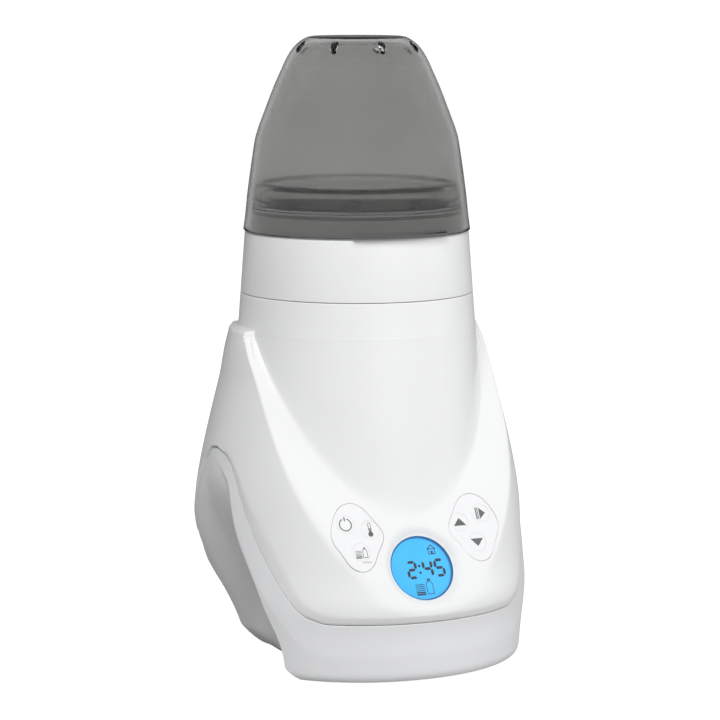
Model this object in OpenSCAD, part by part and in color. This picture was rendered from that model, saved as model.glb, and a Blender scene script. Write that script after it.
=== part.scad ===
// Steam-and-bath bottle warmer: round warming tower on an oval housing with an
// inclined control panel, a lift-off steam hood and a rear water tank.
// Millimetres, +Z up. Origin on the floor under the warming chamber; the front faces -Y.

/* [Tower] */
// Radius of the tower at the top of the collar
tower_r = 50.3; // [49.8:0.1:50.8]
// Growth of the tower radius for each millimetre downwards
tower_taper = 0.0755; // [0.07:0.0005:0.08]
// Height of the joint between housing and collar
collar_z = 163; // [161:1:165]
// Height of the top of the collar, where the hood rests
hood_z = 190.5; // [190:0.5:191]

/* [Housing] */
// Widest half width of the oval housing
half_w = 74; // [73:0.5:76]
// Widest half depth of the oval housing, without its front lip
half_d = 80.8; // [80:0.2:82]
// Height of the level shoulder at the top of the side wings
shoulder_z = 148; // [146:1:149]
// Wall of the moulded housings
wall = 2.4; // [2:0.1:2.8]
// Height of the lowest point of the U-shaped line where tower and panel meet
u_line_z = 71.5; // [70:0.5:73]
// Slope of the control panel from the horizontal
panel_tilt = 60; // [59:0.5:61]

/* [Base] */
// Height of the joint between base and housing at the front
seam_z = 27; // [26:0.5:28]
// Depth of the side grips at the floor
grip_depth = 26.5; // [20:0.5:27]
// Underside of the base above the floor
base_z = 1.2; // [1:0.1:1.6]

/* [Hood] */
// Height of the top of the hood
hood_top = 277; // [275:1:279]
// Wall of the hood
hood_wall = 2.2; // [2:0.1:2.4]
// Number of steam vents in the hood
vents = 8; // [6:2:10]

/* [Keys and display] */
// Radius of the display window
window_r = 14.8; // [14:0.1:15]
// Radius of the dish around the display
dish_r = 19.6; // [19:0.1:20]
// Radius of one key
key_r = 4.2; // [3.8:0.1:4.4]
// Travel of one key
key_travel = 0.5; // [0.3:0.1:0.5]

/* [Water tank] */
// Half of the angle that the tank fills behind the tower
tank_half = 54; // [50:1:55]
// Underside of the tank
tank_z = 52; // [52:0.5:53]
// Wall of the tank
tank_wall = 1.8; // [1.6:0.1:2]

/* [Hidden] */
$fn = 96;
white = "#eef0f1";
smoke = "#7f8080cc";
grey = "#9a9c9e";
dark = "#3a3d40";
steel = "#b9bdc2";
gap = 0.3;
e = 0.01;

// ---- helper functions ----
function mix(a, b, t) = a + (b - a) * t;
function clamp01(t) = min(1, max(0, t));
function smooth(t) = clamp01(t) * clamp01(t) * (3 - 2 * clamp01(t));
function fold(t) = t > 180 ? t - 360 : t;

// ---- outer surface of the body as a radius over angle from the front and height ----
function tower_at(z) = tower_r + tower_taper * (hood_z - z);
function floor_tuck(z) = 1.4 * pow(max(0, 1 - z / 30), 2)
    + (z < 5 ? 5 - sqrt(25 - pow(5 - z, 2)) : 0);
function body_a(z) = half_w - 0.12 * ((z - half_w) + sqrt(pow(z - half_w, 2) + 144))
    + 1.4 * smooth((z - 122) / 20) - floor_tuck(z);
function body_b(z) = half_d - 0.225 * ((z - 98) + sqrt(pow(z - 98, 2) + 1296))
    + 2.6 * exp(-pow((z - 34) / 9, 2)) - floor_tuck(z);
// Slightly squarer than an ellipse low down.
function squareness(z) = 2 + 0.12 * smooth((75 - z) / 40);
function oval(t, z) = let (n = squareness(z))
    1 / pow(pow(abs(sin(t)) / body_a(z), n) + pow(abs(cos(t)) / body_b(z), n), 1 / n);
// The back is fuller than the front, to make room for the tank.
function rear_depth(z) = 81.1 - 9.4 * pow(max(0, (z - 75) / 73), 2);
function fill(t, z) = (rear_depth(z) - body_b(z)) * smooth((abs(t) - 118) / 50)
    * smooth(z / 40);
// Undercut that makes the side grips and the hull-shaped back.
function grip_top(t) = mix(92, 66, smooth((abs(t) - 95) / 17)) - 14 * smooth((abs(t) - 112) / 25);
function grip_in(t) = grip_depth - 3.5 * smooth((abs(t) - 100) / 18) - 7 * smooth((abs(t) - 120) / 35);
function grip_span(t) = grip_top(t) * mix(0.76, 1, smooth((abs(t) - 84) / 26));
function undercut(t, z) = grip_in(t) * smooth((grip_top(t) - z) / grip_span(t))
    + 5.5 * smooth((10 - z) / 10) * smooth((abs(t) - 60) / 20);
function outer_r(t, z) = oval(t, z) + fill(t, z) - undercut(t, z) * smooth((abs(t) - 96) / 12);
// Edge of the grip, seen from the side, and its angle.
function edge_y(z) = -50.5 + 0.22 * ((z - 15) + sqrt(pow(z - 15, 2) + 30))
    - 3.5 * smooth((7 - z) / 7) + 4 * smooth((z - 35) / 30);
function arch_y(z) = edge_y(z) + 9 * pow(max(0, (z - 80) / 10), 2);
function angle_of(y, z) = acos(clamp01(-y / oval(60, z)));

// Control panel: a sheet that leans back from the front lip up to the shoulder.
function panel_y(z) = -tower_at(u_line_z) + (z - u_line_z) / tan(panel_tilt)
    + 0.00165 * pow(max(0, z - u_line_z), 2);
function panel_at(t, z) = cos(t) > 0.05 ? -panel_y(z) / cos(t) : 500;

// Joint between base and housing, seen from the side: a hump over each grip.
seam_line = [[-90, seam_z], [-66, seam_z], [-60, 29.6], [-55, 34.9], [-50, 41], [-44, 49.4],
    [-36, 60.5], [-29, 72], [-22, 82.5], [-15, 90.2], [-8, 94.3], [0, 96], [8, 94.8],
    [15, 88], [22, 77], [28, 65.5], [33, 56.5], [37, 51.5], [41, 50], [90, 50]];
// Clearance in height between base and housing.
function seam_gap(t) = mix(0.8, 2.1, smooth((abs(t) - 26) / 16));
function seam_at(y) = lookup(y, seam_line);
function seam_of(t) = seam_at(-oval(t, seam_at(-74 * cos(t))) * cos(t));
// The housing turns in along a band above the joint.
function band_of(t) = seam_of(t) + 3.6 + 8 * exp(-pow((abs(t) - 56) / 14, 2))
    - 2.6 * smooth((abs(t) - 74) / 12);
band_in = 1.1;

function bisect(t, lo, hi, ridge, n) = n == 0 ? (lo + hi) / 2 :
    let (m = (lo + hi) / 2)
    let (r = ridge ? oval(t, m) : tower_at(m))
    panel_at(t, m) > r ? bisect(t, m, hi, ridge, n - 1) : bisect(t, lo, m, ridge, n - 1);
wing_top = shoulder_z - 0.6;
function u_line_of(t) = abs(t) > 85 ? wing_top - 0.5 : bisect(t, 60, wing_top - 0.5, false, 20);
function ridge_of(t) = abs(t) > 85 ? wing_top - 1.5 :
    min(u_line_of(t) - 1, bisect(t, 28, wing_top - 1.5, true, 20));

// Radius of the housing, with its band, panel, wings and tower.
function shell_r(t, z) = z > wing_top + 0.1 ? tower_at(z) :
    max(tower_at(z), min(outer_r(t, z)
        - band_in * clamp01(1 - (z - seam_of(t)) / (band_of(t) - seam_of(t))), panel_at(t, z)));

// Heights of the rows of one column of the housing.
function steps(a, b, n) = [for (i = [1:n]) mix(a, b, i / n)];
function housing_z(t) = let (s = seam_of(t) + seam_gap(t) / 2, b = min(band_of(t), ridge_of(t) - 1))
    concat([s], steps(s, b, 1), steps(b, ridge_of(t), 6), steps(ridge_of(t), u_line_of(t), 5),
        steps(u_line_of(t), wing_top, 3), [shoulder_z], steps(shoulder_z, collar_z, 1));

bay = 180 - tank_half - 1;
front_t = [for (i = [-48:48]) bay * i / 48];
rear_t = [for (i = [1:11]) bay + (360 - 2 * bay) * i / 12];

// ---- polyhedron builders ----
function at(t, r, z) = [r * sin(t), -r * cos(t), z];
// Closes a list of equal loops into a ring; with caps, its ends are closed by strips.
module loft(rows, caps = false) {
    n = len(rows[0]);
    m = len(rows);
    side = [for (j = [0:m - (caps ? 2 : 1)], i = [0:n - 1], k = [0, 1])
        let (a = j * n + i, b = j * n + (i + 1) % n)
        let (c = ((j + 1) % m) * n + (i + 1) % n, d = ((j + 1) % m) * n + i)
        k == 0 ? [a, c, b] : [a, d, c]];
    strip = caps ? [for (i = [0:n / 2 - 2], k = [0, 1], s = [0, 1])
        let (o = s * (m - 1) * n, a = o + i, b = o + i + 1, c = o + n - 2 - i, d = o + n - 1 - i)
        let (f = k == 0 ? [a, b, c] : [a, c, d])
        s == 0 ? f : [f[2], f[1], f[0]]] : [];
    polyhedron([for (r = rows) each r], concat(side, strip), convexity = 8);
}

// One loop of the housing: wings and panel in front, the bare tower behind the tank bay.
function housing_loop(j, inset, shift) = concat(
    [for (t = front_t)
        let (a = t * (bay - shift) / bay, z = housing_z(a)[j])
        at(a, shell_r(a, z) - inset, z)],
    [for (t = concat([bay], rear_t, [360 - bay]))
        let (a = t == bay ? t - shift : t == 360 - bay ? t + shift : t)
        let (z = housing_z(fold(a))[j])
        at(a, tower_at(z) - inset, z)]);

// ---- base ----
function edge_of(z, shift) = angle_of(arch_y(z), z) - shift;
n_front = 34;
n_close = 12;
n_rear = 30;
// Share of the way from the front to the grip's edge, with closer columns near the edge.
function share(k) = k < n_front - n_close ? 0.92 * k / (n_front - n_close)
    : mix(1, 0.92, (n_front - k) / n_close);
// Angle of column k at height z: the grip's edge is one whole column on each side.
function column_t(k, z, shift) = let (c = edge_of(z, shift))
    k <= n_front ? let (plain = angle_of(edge_y(z), z) - shift)
        share(k) * plain + (c - plain) * pow(share(k), 30) :
    k == n_front + 1 ? c + 1 : k == n_front + 2 ? c + 3.2 :
    mix(c + 3.2, 180, (k - n_front - 2) / n_rear);
n_col = n_front + 2 + n_rear;
function settle(k, shift, lo, hi, n) = let (m = (lo + hi) / 2)
    n == 0 ? m : m < seam_of(column_t(k, m, shift)) ? settle(k, shift, m, hi, n - 1)
    : settle(k, shift, lo, m, n - 1);
function column_top(k, shift) = let (z = settle(k, shift, 20, 98, 16))
    z - seam_gap(column_t(k, z, shift)) / 2;
function base_r(t, z, c) = oval(t, z) + fill(t, z)
    - band_in * clamp01(1 - (seam_of(t) - z) / 14) - undercut(t, z) * smooth((abs(t) - c) / 3.2);
function base_point(k, v, inset, shift) = let (a = abs(k))
    let (z = mix(base_z, column_top(a, shift), v), t = column_t(a, z, shift))
    at(sign(k) * t, base_r(t, z, edge_of(z, shift)) - inset, z);
base_rows = [0, 0.01, 0.025, 0.05, 0.1, 0.17, 0.25, 0.34, 0.43, 0.52, 0.61, 0.7, 0.79, 0.87, 0.94, 1];
base_t = [for (k = [1 - n_col:n_col]) k];
post_at = [[-39, -56], [39, -56], [-28, 25.4], [28, 25.4]];
// Reach of a post's rib to the wall, in its lower and its upper half.
function rib_at(p) = p[1] < 0 ? [8.6, 8.6] : [17, 20.2];
feet_at = [[-24, -58], [24, -58], [-20, 38], [20, 38]];
inlet = [22, 60, 14];

// ---- frames of the panel: x across, y up the slope, z out of the panel ----
display_z = 50.2;
dish_depth = 2.5;
lens_w = -3.2;
lens_thick = 0.7;
back_w = -4;
lcd_w = -5;
light_w = -7.2;
board_w = -9.3;
board_thick = 1.5;
key_back = -5.1;
pad_thick = 2.8;
module on_panel() {
    translate([0, panel_y(display_z), display_z]) rotate([panel_tilt, 0, 0]) children();
}
// Outline of a keypad: a rounded kite around its three keys.
pad_u = 27.8;
pad_v = 15.2;
function pad_r(p) = 12.9 + 0.5 * cos(p) + 0.7 * sin(p) - 1.8 * cos(2 * p) + 0.3 * sin(2 * p)
    - 0.45 * cos(3 * p) + 0.3 * sin(3 * p) + 0.9 * cos(4 * p);
module pad_shape(side, grow) {
    polygon([for (p = [0:5:355])
        [side * (pad_u + (pad_r(p) + grow) * cos(p)), pad_v + (pad_r(p) + grow) * sin(p)]]);
}
keys = [[21.5, 18.6], [32.4, 21.8], [28, 8.7]];

module main_housing() {
    n = len(housing_z(0));
    color(white) difference() {
        union() {
            loft(concat([for (j = [0:n - 1]) housing_loop(j, 0, 0)],
                [for (j = [n - 1:-1:0]) housing_loop(j, wall, 2.2)]));
            on_panel() translate([0, 0, back_w]) cylinder(r = dish_r + 1, h = 3);
            on_panel() for (p = board_posts) translate([p[0], p[1], board_w + 0.05])
                cylinder(r = 2, h = back_w - board_w + 0.1, $fn = 48);
        }
        on_panel() {
            translate([0, 0, -dish_depth]) cylinder(r1 = window_r, r2 = dish_r, h = dish_depth + e);
            translate([0, 0, lens_w]) cylinder(r = window_r, h = 5);
            translate([0, 0, -8]) cylinder(r = window_r - 0.8, h = 5);
            for (s = [-1, 1]) {
                translate([0, 0, -6]) linear_extrude(8) pad_shape(s, 0.15);
                translate([0, 0, -8]) linear_extrude(8.05 - pad_thick) pad_shape(s, 1.65);
            }
            for (p = board_posts) translate([p[0], p[1], board_w])
                cylinder(r = 1.02, h = 3.4, $fn = 32);
        }
    }
}

module lower_base() {
    color(white) difference() {
        union() {
            loft(concat([for (v = base_rows) [for (k = base_t) base_point(k, v, 0, 0)]],
                [for (i = [len(base_rows) - 1:-1:0])
                    [for (k = base_t) base_point(k, base_rows[i], wall, 2.3)]]));
            for (p = post_at) translate([p[0], p[1], 5]) {
                cylinder(r = 4, h = 16);
                rotate(atan2(p[1], p[0])) translate([0, -1.5, 0]) {
                    cube([rib_at(p)[0], 3, 3.1]);
                    translate([0, 0, 3]) cube([rib_at(p)[1], 3, 4]);
                }
            }
        }
        for (p = post_at) translate([p[0], p[1], 4]) cylinder(r = 1.52, h = 12);
        translate(inlet) rotate([90, 0, 0]) cylinder(r = 5.05, h = 40, center = true);
    }
}

// Top of the thin spigot that centres the hood and carries the chamber's flange.
spigot_z = hood_z + 8.1;
module upper_collar() {
    color(white) rotate_extrude($fn = 144) polygon([
        [48.2, collar_z - 5], [49.6, collar_z - 5], [49.6, collar_z + gap],
        [tower_at(collar_z + gap), collar_z + gap], [tower_at(hood_z - 0.6), hood_z - 0.6],
        [tower_at(hood_z) - 0.6, hood_z], [47.3, hood_z], [47.3, spigot_z],
        [46.6, spigot_z], [46.6, hood_z - 6], [48.2, hood_z - 8]]);
}

// Outer profile of the hood from its rim up to the flat top.
hood_line = [[51, 0], [50.1, 6.7], [48.7, 19.2], [45.9, 38.2], [44.3, 44.7], [42.1, 50.7],
    [37.3, 63.2], [33.6, 71.5], [31.9, 75.3], [29.7, 79.1], [27, 82.4], [23.6, 84.9],
    [19.5, 86.1]];
hood_rim = hood_z + gap;
hood_scale = (hood_top - hood_rim) / 86.1;
function hood_at(i, inset) = [hood_line[i][0] - inset, hood_rim + hood_line[i][1] * hood_scale
    - (i > 8 ? inset * (i - 8) / 4 : 0)];

module hood() {
    color(smoke) difference() {
        union() {
            rotate_extrude($fn = 144) polygon(concat(
                [for (i = [0:12]) hood_at(i, 0)], [[0, hood_top]], [[0, hood_top - hood_wall]],
                [for (i = [12:-1:0]) hood_at(i, hood_wall)]));
            rotate([0, 0, -116]) rotate_extrude(angle = 52, $fn = 144) polygon([
                [49.5, hood_rim], [52.6, hood_rim], [53, hood_rim + 0.5],
                [53, hood_rim + 1.6], [52, hood_rim + 2.5], [49.5, hood_rim + 2.8]]);
        }
        for (k = [0:vents - 1]) rotate([0, 0, k * 360 / vents])
            translate([0, -25.5, hood_top - 6]) rotate([38, 0, 0]) {
                for (s = [-1, 1]) translate([0, s * 1.3, -4]) cylinder(r = 1.6, h = 16, $fn = 32);
                translate([-1.6, -1.3, -4]) cube([3.2, 2.6, 16]);
            }
    }
}

module adapter_ring() {
    z = spigot_z + 2.7;
    color(grey) difference() {
        rotate_extrude($fn = 144) polygon([
            [42.2, z - 18], [43.6, z - 18], [44.2, z - 17], [44.2, z], [47.1, z], [47.1, z + 1.2],
            [46.5, z + 2], [46.1, z + 8.6], [45, z + 10.4], [43, z + 11], [41.4, z + 10],
            [41, z + 8], [42.2, z + 3]]);
        for (k = [0:7]) rotate([0, 0, 22.5 + k * 45])
            translate([40, -3, z - 14]) cube([8, 6, 8]);
    }
}

module basket() {
    color(white) difference() {
        rotate_extrude($fn = 96) polygon([
            [0, 77], [42, 77], [43.5, 78.5], [43.5, 176], [42.1, 176], [42.1, 79.6], [0, 79.6]]);
        for (k = [0:11], j = [0:2]) rotate([0, 0, k * 30])
            translate([38, -3, 86 + j * 29]) cube([8, 6, 22]);
        for (k = [0:7]) rotate([0, 0, k * 45]) translate([24, 0, 70]) cylinder(r = 5, h = 12);
        translate([0, 0, 70]) cylinder(r = 6, h = 12);
    }
}

chamber_z = 66;
feed_y = 36;
module chamber() {
    color(steel) difference() {
        union() {
            rotate_extrude($fn = 144) polygon([
                [0, chamber_z], [43.5, chamber_z], [46.3, chamber_z + 2.8],
                [46.3, spigot_z + 1.3], [47.2, spigot_z + 1.3], [47.2, spigot_z + 2.4],
                [45, spigot_z + 2.4], [44.9, chamber_z + 3.4], [42.9, chamber_z + 1.4],
                [0, chamber_z + 1.4]]);
            for (k = [0:2]) rotate([0, 0, k * 120]) translate([0, -screw_circle, chamber_z - 5])
                cylinder(r = 3.2, h = 5.5, $fn = 48);
            translate([0, feed_y, chamber_z - 10]) cylinder(r = 2.1, h = 10.5, $fn = 48);
        }
        translate([0, feed_y, chamber_z - 11]) cylinder(r = 1.3, h = 14, $fn = 32);
        for (k = [0:2]) rotate([0, 0, k * 120]) translate([0, -screw_circle, chamber_z - 6])
            cylinder(r = 1.55, h = 5, $fn = 32);
    }
}

module chamber_gasket() {
    color(dark) rotate_extrude($fn = 96) translate([46.6, spigot_z + 0.1]) square([0.6, 1.1]);
}

module heat_shield() {
    color(steel) difference() {
        rotate_extrude($fn = 96) polygon([[48, 64], [49.2, 64], [49.2, 156], [48, 156]]);
        for (k = [0:11]) rotate([0, 0, 15 + k * 30]) translate([44, -4, 70]) cube([10, 8, 3]);
    }
}

plate_z = 60.9;
element_r = 24;
screw_circle = 37;
module heater_plate() {
    color("#c9ccce") difference() {
        translate([0, 0, plate_z]) cylinder(r = 41, h = 4.8);
        translate([0, feed_y, plate_z - 1]) cylinder(r = 6, h = 8);
        for (k = [0:2]) rotate([0, 0, k * 120]) translate([0, -screw_circle, plate_z - 1])
            cylinder(r = 3.5, h = 8);
        translate([0, 0, plate_z]) rotate_extrude() translate([element_r, -0.2])
            circle(r = 4.3);
    }
}

module heating_element() {
    color(dark) translate([0, 0, plate_z - 0.2]) {
        rotate([0, 0, 20]) rotate_extrude(angle = 320) translate([element_r, 0])
            circle(r = 4, $fn = 48);
        for (s = [-1, 1]) rotate([0, 0, s * 20]) translate([element_r, 0, -9])
            cylinder(r = 2.2, h = 9, $fn = 32);
    }
}

module screw(r_head, h_head, r, length) {
    difference() {
        union() {
            translate([0, 0, -h_head]) cylinder(r1 = r_head * 0.8, r2 = r_head, h = h_head, $fn = 48);
            translate([0, 0, -e]) cylinder(r = r, h = length, $fn = 32);
        }
        for (a = [0, 90]) rotate(a) translate([-r_head * 0.6, -0.35, -h_head - e])
            cube([r_head * 1.2, 0.7, h_head * 0.55]);
    }
}

module heater_screws() {
    color(steel) for (k = [0:2]) rotate([0, 0, k * 120]) translate([0, -screw_circle, plate_z - 0.15])
        screw(5, 2.4, 1.5, 4.1);
}

module thermostat() {
    color(grey) translate([0, 0, plate_z - 8.3]) {
        cylinder(r = 8, h = 8);
        for (s = [-1, 1]) translate([s * 4 - 2.4, -0.4, -7]) cube([4.8, 0.8, 7.5]);
    }
}

module thermal_fuse() {
    color(white) translate([10, -12.6, plate_z - 3.3]) rotate([0, 90, 25]) union() {
        cylinder(r = 2.2, h = 12, center = true, $fn = 48);
        cylinder(r = 0.5, h = 18, center = true, $fn = 24);
    }
}

module display_lens() {
    color("#a8d8ffaa") on_panel() translate([0, 0, lens_w]) cylinder(r = window_r - 0.1, h = lens_thick);
}

module lcd_panel() {
    color("#5acbff") on_panel() translate([-15, -14.5, lcd_w]) cube([30, 29, 0.9]);
}

module backlight() {
    color("white") on_panel() translate([-15, -14.5, light_w]) cube([30, 29, 2.1]);
}

module display_holder() {
    color(dark) on_panel() difference() {
        translate([-16.8, -16.2, board_w + 0.2]) cube([33.6, 32.4, back_w - board_w - 0.3]);
        translate([-15.2, -14.7, light_w - 0.15]) cube([30.4, 29.4, 4]);
        translate([-11, -11, -10]) cube([22, 22, 4]);
    }
}

board_posts = [[-18.9, 0], [18.9, 0], [0, -18.6]];
board_line = [[-14, -21.5], [14, -21.5], [24, -5], [41, 8], [39, 27.5], [18.5, 27.5], [14, 12],
    [-14, 12], [-18.5, 27.5], [-39, 27.5], [-41, 8], [-24, -5]];
module control_board() {
    color("#2c6a45") on_panel() difference() {
        translate([0, 0, board_w - board_thick]) linear_extrude(board_thick) polygon(board_line);
        for (p = board_posts) translate([p[0], p[1], -12]) cylinder(r = 1.3, h = 4, $fn = 32);
    }
}

module key_switches() {
    color(dark) on_panel() for (s = [-1, 1], k = keys) translate([s * k[0], k[1], board_w + 0.1]) {
        translate([-3, -3, 0]) cube([6, 6, 3]);
        cylinder(r = 1.6, h = key_back - board_w - key_travel - 0.2, $fn = 32);
    }
}

module controller_chip() {
    color(dark) on_panel() translate([0, -3, board_w - board_thick - 1.7]) {
        translate([-5, -5, 0]) cube([10, 10, 1.4]);
        for (a = [0:90:270], i = [-3:3]) rotate(a) translate([i * 1.3 - 0.25, 4.9, 0.5])
            cube([0.5, 1.6, 1]);
    }
}

power_board_at = [[-30, -56], [30, -56], [-30, -16], [30, -16]];
board_z = 12;
cover_z = 2.2;
cover_thick = 2;
module board_screws() {
    color(steel) {
        on_panel() for (p = board_posts) translate([p[0], p[1], board_w - board_thick - 0.05])
            screw(2.4, 1.4, 1, 4.2);
        for (p = power_board_at) translate([p[0], p[1], board_z + 1.65]) rotate([180, 0, 0])
            screw(2.4, 1.4, 1, 4.2);
    }
}

module keypad(side) {
    on_panel() difference() {
        union() {
            translate([0, 0, -pad_thick]) linear_extrude(pad_thick) pad_shape(side, 0);
            translate([0, 0, -pad_thick - 1]) linear_extrude(1 + e) pad_shape(side, 1.5);
        }
        for (k = keys) translate([side * k[0], k[1], -5]) cylinder(r = key_r + 0.05, h = 6);
    }
}
module left_keypad() { color(white) keypad(-1); }
module right_keypad() { color(white) keypad(1); }

module key(side, k) {
    on_panel() translate([side * k[0], k[1], 0]) rotate_extrude($fn = 96) polygon([
        [0, key_back], [key_r + 0.7, key_back], [key_r + 0.7, key_back + 0.8],
        [key_r, key_back + 0.8], [key_r, -0.2], [key_r - 0.2, 0], [0, 0]]);
}
module power_key() { color(white) key(-1, keys[1]); }
module temperature_key() { color(white) key(-1, keys[0]); }
module bottle_key() { color(white) key(-1, keys[2]); }
module up_key() { color(white) key(1, keys[0]); }
module start_key() { color(white) key(1, keys[1]); }
module down_key() { color(white) key(1, keys[2]); }

module ribbon_cable() {
    color(grey) translate([4, 0, 0]) rotate([90, 0, 90]) linear_extrude(14) polygon([
        [-66.5, 31.2], [-64, 27], [-60, 22], [-58.2, 18], [-58.2, 14.2], [-59, 14.2],
        [-59, 17.8], [-60.7, 21.6], [-64.7, 26.6], [-67.3, 30.7]]);
}

module power_board() {
    color("#2c6a45") difference() {
        translate([-34, -60.5, board_z]) cube([68, 50, 1.6]);
        for (p = power_board_at) translate([p[0], p[1], board_z - 1]) cylinder(r = 1.3, h = 4, $fn = 32);
    }
}

module power_parts() {
    z = board_z + 1.6;
    color(dark) {
        translate([-24, -50, z]) cube([22, 18, 17]);
        translate([-22, -28, z]) cube([20, 15, 16]);
        translate([10, -46, z]) cylinder(r = 6, h = 22);
        translate([24, -44, z]) cylinder(r = 4, h = 14);
        translate([20, -28, z]) cube([10, 6, 12]);
        translate([3, -20, z]) cube([7, 6, 9]);
    }
}

module buzzer() {
    color(dark) translate([-27, 0, cover_z + cover_thick]) difference() {
        cylinder(r = 6, h = 7);
        translate([0, 0, 4]) cylinder(r = 1.2, h = 4, $fn = 32);
    }
}

// ---- water tank ----
tank_t = [for (i = [0:22]) 180 - tank_half + 2 * tank_half * i / 22];
function tank_loop(z, inset, turn) = concat(
    [for (t = tank_t) let (a = 180 + (t - 180) * (tank_half - turn) / tank_half)
        at(a, outer_r(fold(a), z) - inset, z)],
    [for (i = [22:-1:0]) let (a = 180 + (tank_t[i] - 180) * (tank_half - turn) / tank_half)
        at(a, tower_at(z) + 1.5 + inset, z)]);
tank_top = shoulder_z - 6.2;
lid_z = tank_top + 0.6;
lid_thick = 1.8;
tank_floor = tank_z + tank_wall;
tank_rows = [for (i = [0:10]) mix(tank_z, tank_top, i / 10)];
cavity_rows = [for (i = [10:-1:0]) mix(tank_floor, tank_top, i / 10)];
valve_y = 70.4;
hinge = [0, 76.4, lid_z + lid_thick / 2];
hinge_r = 2.6;
pin_r = 1.2;
module water_tank() {
    color(smoke) difference() {
        union() {
            loft(concat([for (z = tank_rows) tank_loop(z, 0, 0)],
                [for (z = cavity_rows) tank_loop(z, tank_wall, 1.7)]), caps = true);
            translate([0, valve_y, tank_z - 5.4]) cylinder(r = 4.4, h = 6);
            translate([0, valve_y, 68]) cylinder(r = 6, h = 1.5);
            for (k = [0:2]) translate([0, valve_y, 53]) rotate(k * 120 + 30)
                translate([5, -0.8, 0]) cube([0.9, 1.6, 15.5]);
            translate([-8.6, hinge[1], hinge[2]]) rotate([0, 90, 0]) cylinder(r = hinge_r, h = 17.2);
            translate([-8.2, 71.3, lid_z - 3.9]) cube([16.4, 5.1, 3.6]);
        }
        translate([0, valve_y, tank_z - 6]) cylinder(r = 1.46, h = 6, $fn = 48);
        translate([0, valve_y, tank_z - 3]) cylinder(r = 3, h = 5.5, $fn = 48);
        for (k = [0:2]) translate([0, valve_y, tank_z - 6]) rotate(k * 120)
            translate([2.6, 0, 0]) cylinder(r = 0.8, h = 4, $fn = 24);
        translate([-9, hinge[1], hinge[2]]) rotate([0, 90, 0]) cylinder(r = pin_r + 0.03, h = 18);
    }
}

module tank_lid() {
    color(smoke) difference() {
        union() {
            translate([0, 0, lid_z]) linear_extrude(lid_thick) polygon(concat(
                [for (t = tank_t) outer_r(fold(t), lid_z) * [sin(t), -cos(t)]],
                [for (i = [22:-1:0]) (tower_at(lid_z) + 1.5) * [sin(tank_t[i]), -cos(tank_t[i])]]));
            for (s = [-1, 1]) translate([s * 11.9 - 2.7, 0, 0]) {
                translate([0, hinge[1], hinge[2]]) rotate([0, 90, 0]) cylinder(r = hinge_r, h = 5.4);
                translate([0, 68, lid_z]) cube([5.4, 8.4, lid_thick]);
            }
        }
        translate([-20, hinge[1], hinge[2]]) rotate([0, 90, 0]) cylinder(r = pin_r + 0.05, h = 40);
    }
}

module lid_pin() {
    color(steel) translate([-15.2, hinge[1], hinge[2]]) rotate([0, 90, 0])
        cylinder(r = pin_r, h = 30.4, $fn = 48);
}

module valve_stem() {
    color(white) translate([0, valve_y, 0]) rotate_extrude($fn = 48) polygon([
        [0, 46.2], [1, 46.2], [1.4, 46.6], [1.4, 57.3], [4.4, 57.3], [4.4, 58.8], [1.4, 58.8],
        [1.4, 61], [0, 61]]);
}

module valve_seal() {
    color(dark) translate([0, valve_y, 56.3]) difference() {
        cylinder(r = 4.4, h = 0.98);
        translate([0, 0, -1]) cylinder(r = 1.45, h = 3, $fn = 48);
    }
}

module valve_spring() {
    color(steel) translate([0, valve_y, 58.85]) difference() {
        cylinder(r = 3.2, h = 9.1, $fn = 48);
        translate([0, 0, -1]) cylinder(r = 2.4, h = 12, $fn = 48);
    }
}

dock_top = tank_z - 2.2;
module tank_dock() {
    color(white) difference() {
        union() {
            translate([0, 0, dock_top - 2.4]) linear_extrude(2.4) polygon(concat(
                [for (i = [0:24]) let (t = 122 + i * 116 / 24, r = outer_r(fold(t), 47) - wall - 1)
                    [r * sin(t), -r * cos(t)]],
                [for (i = [24:-1:0]) let (t = 122 + i * 116 / 24) 56 * [sin(t), -cos(t)]]));
            translate([0, valve_y, 43]) cylinder(r = 6.1, h = dock_top - 43);
            translate([0, valve_y - 3, 35]) cylinder(r = 2.1, h = 9, $fn = 48);
        }
        translate([0, valve_y, 44.6]) cylinder(r = 4.8, h = 9);
        translate([0, valve_y - 3, 34]) cylinder(r = 1.2, h = 12, $fn = 32);
    }
    color(white) translate([0, valve_y, 44]) cylinder(r = 0.9, h = 2, $fn = 32);
}

module dock_seal() {
    color(dark) translate([0, valve_y, 44.65]) difference() {
        cylinder(r = 4.7, h = 1.6);
        translate([0, 0, -1]) cylinder(r = 4.3, h = 4);
    }
}

module feed_tube() {
    z = 24;
    bend = 8;
    color("#e3e6e8") difference() {
        union() tube_run(3.2, z, bend, 0);
        tube_run(2.15, z, bend, 1);
    }
}
module tube_run(r, z, bend, more) {
    y1 = valve_y - 3;
    translate([0, y1, z + bend]) cylinder(r = r, h = 9.5 + more, $fn = 48);
    translate([0, y1 - bend, z + bend]) rotate([0, 90, 0])
        rotate_extrude(angle = 90, $fn = 48) translate([bend, 0]) circle(r = r, $fn = 48);
    translate([0, feed_y + bend, z]) rotate([-90, 0, 0])
        cylinder(r = r, h = y1 - feed_y - 2 * bend, $fn = 48);
    translate([0, feed_y + bend, z + bend]) rotate([0, 90, 0]) rotate([0, 0, -90])
        rotate_extrude(angle = 90, $fn = 48) translate([bend, 0]) circle(r = r, $fn = 48);
    translate([0, feed_y, z + bend]) cylinder(r = r, h = 30 + more, $fn = 48);
}

module cord_bushing() {
    color(dark) translate([inlet[0], 0, inlet[2]]) rotate([-90, 0, 0]) difference() {
        union() {
            translate([0, 0, 50]) cylinder(r = 5, h = 15.5);
            translate([0, 0, 48]) cylinder(r = 7, h = 2.2);
        }
        translate([0, 0, 40]) cylinder(r = 2.4, h = 40);
    }
}

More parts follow.
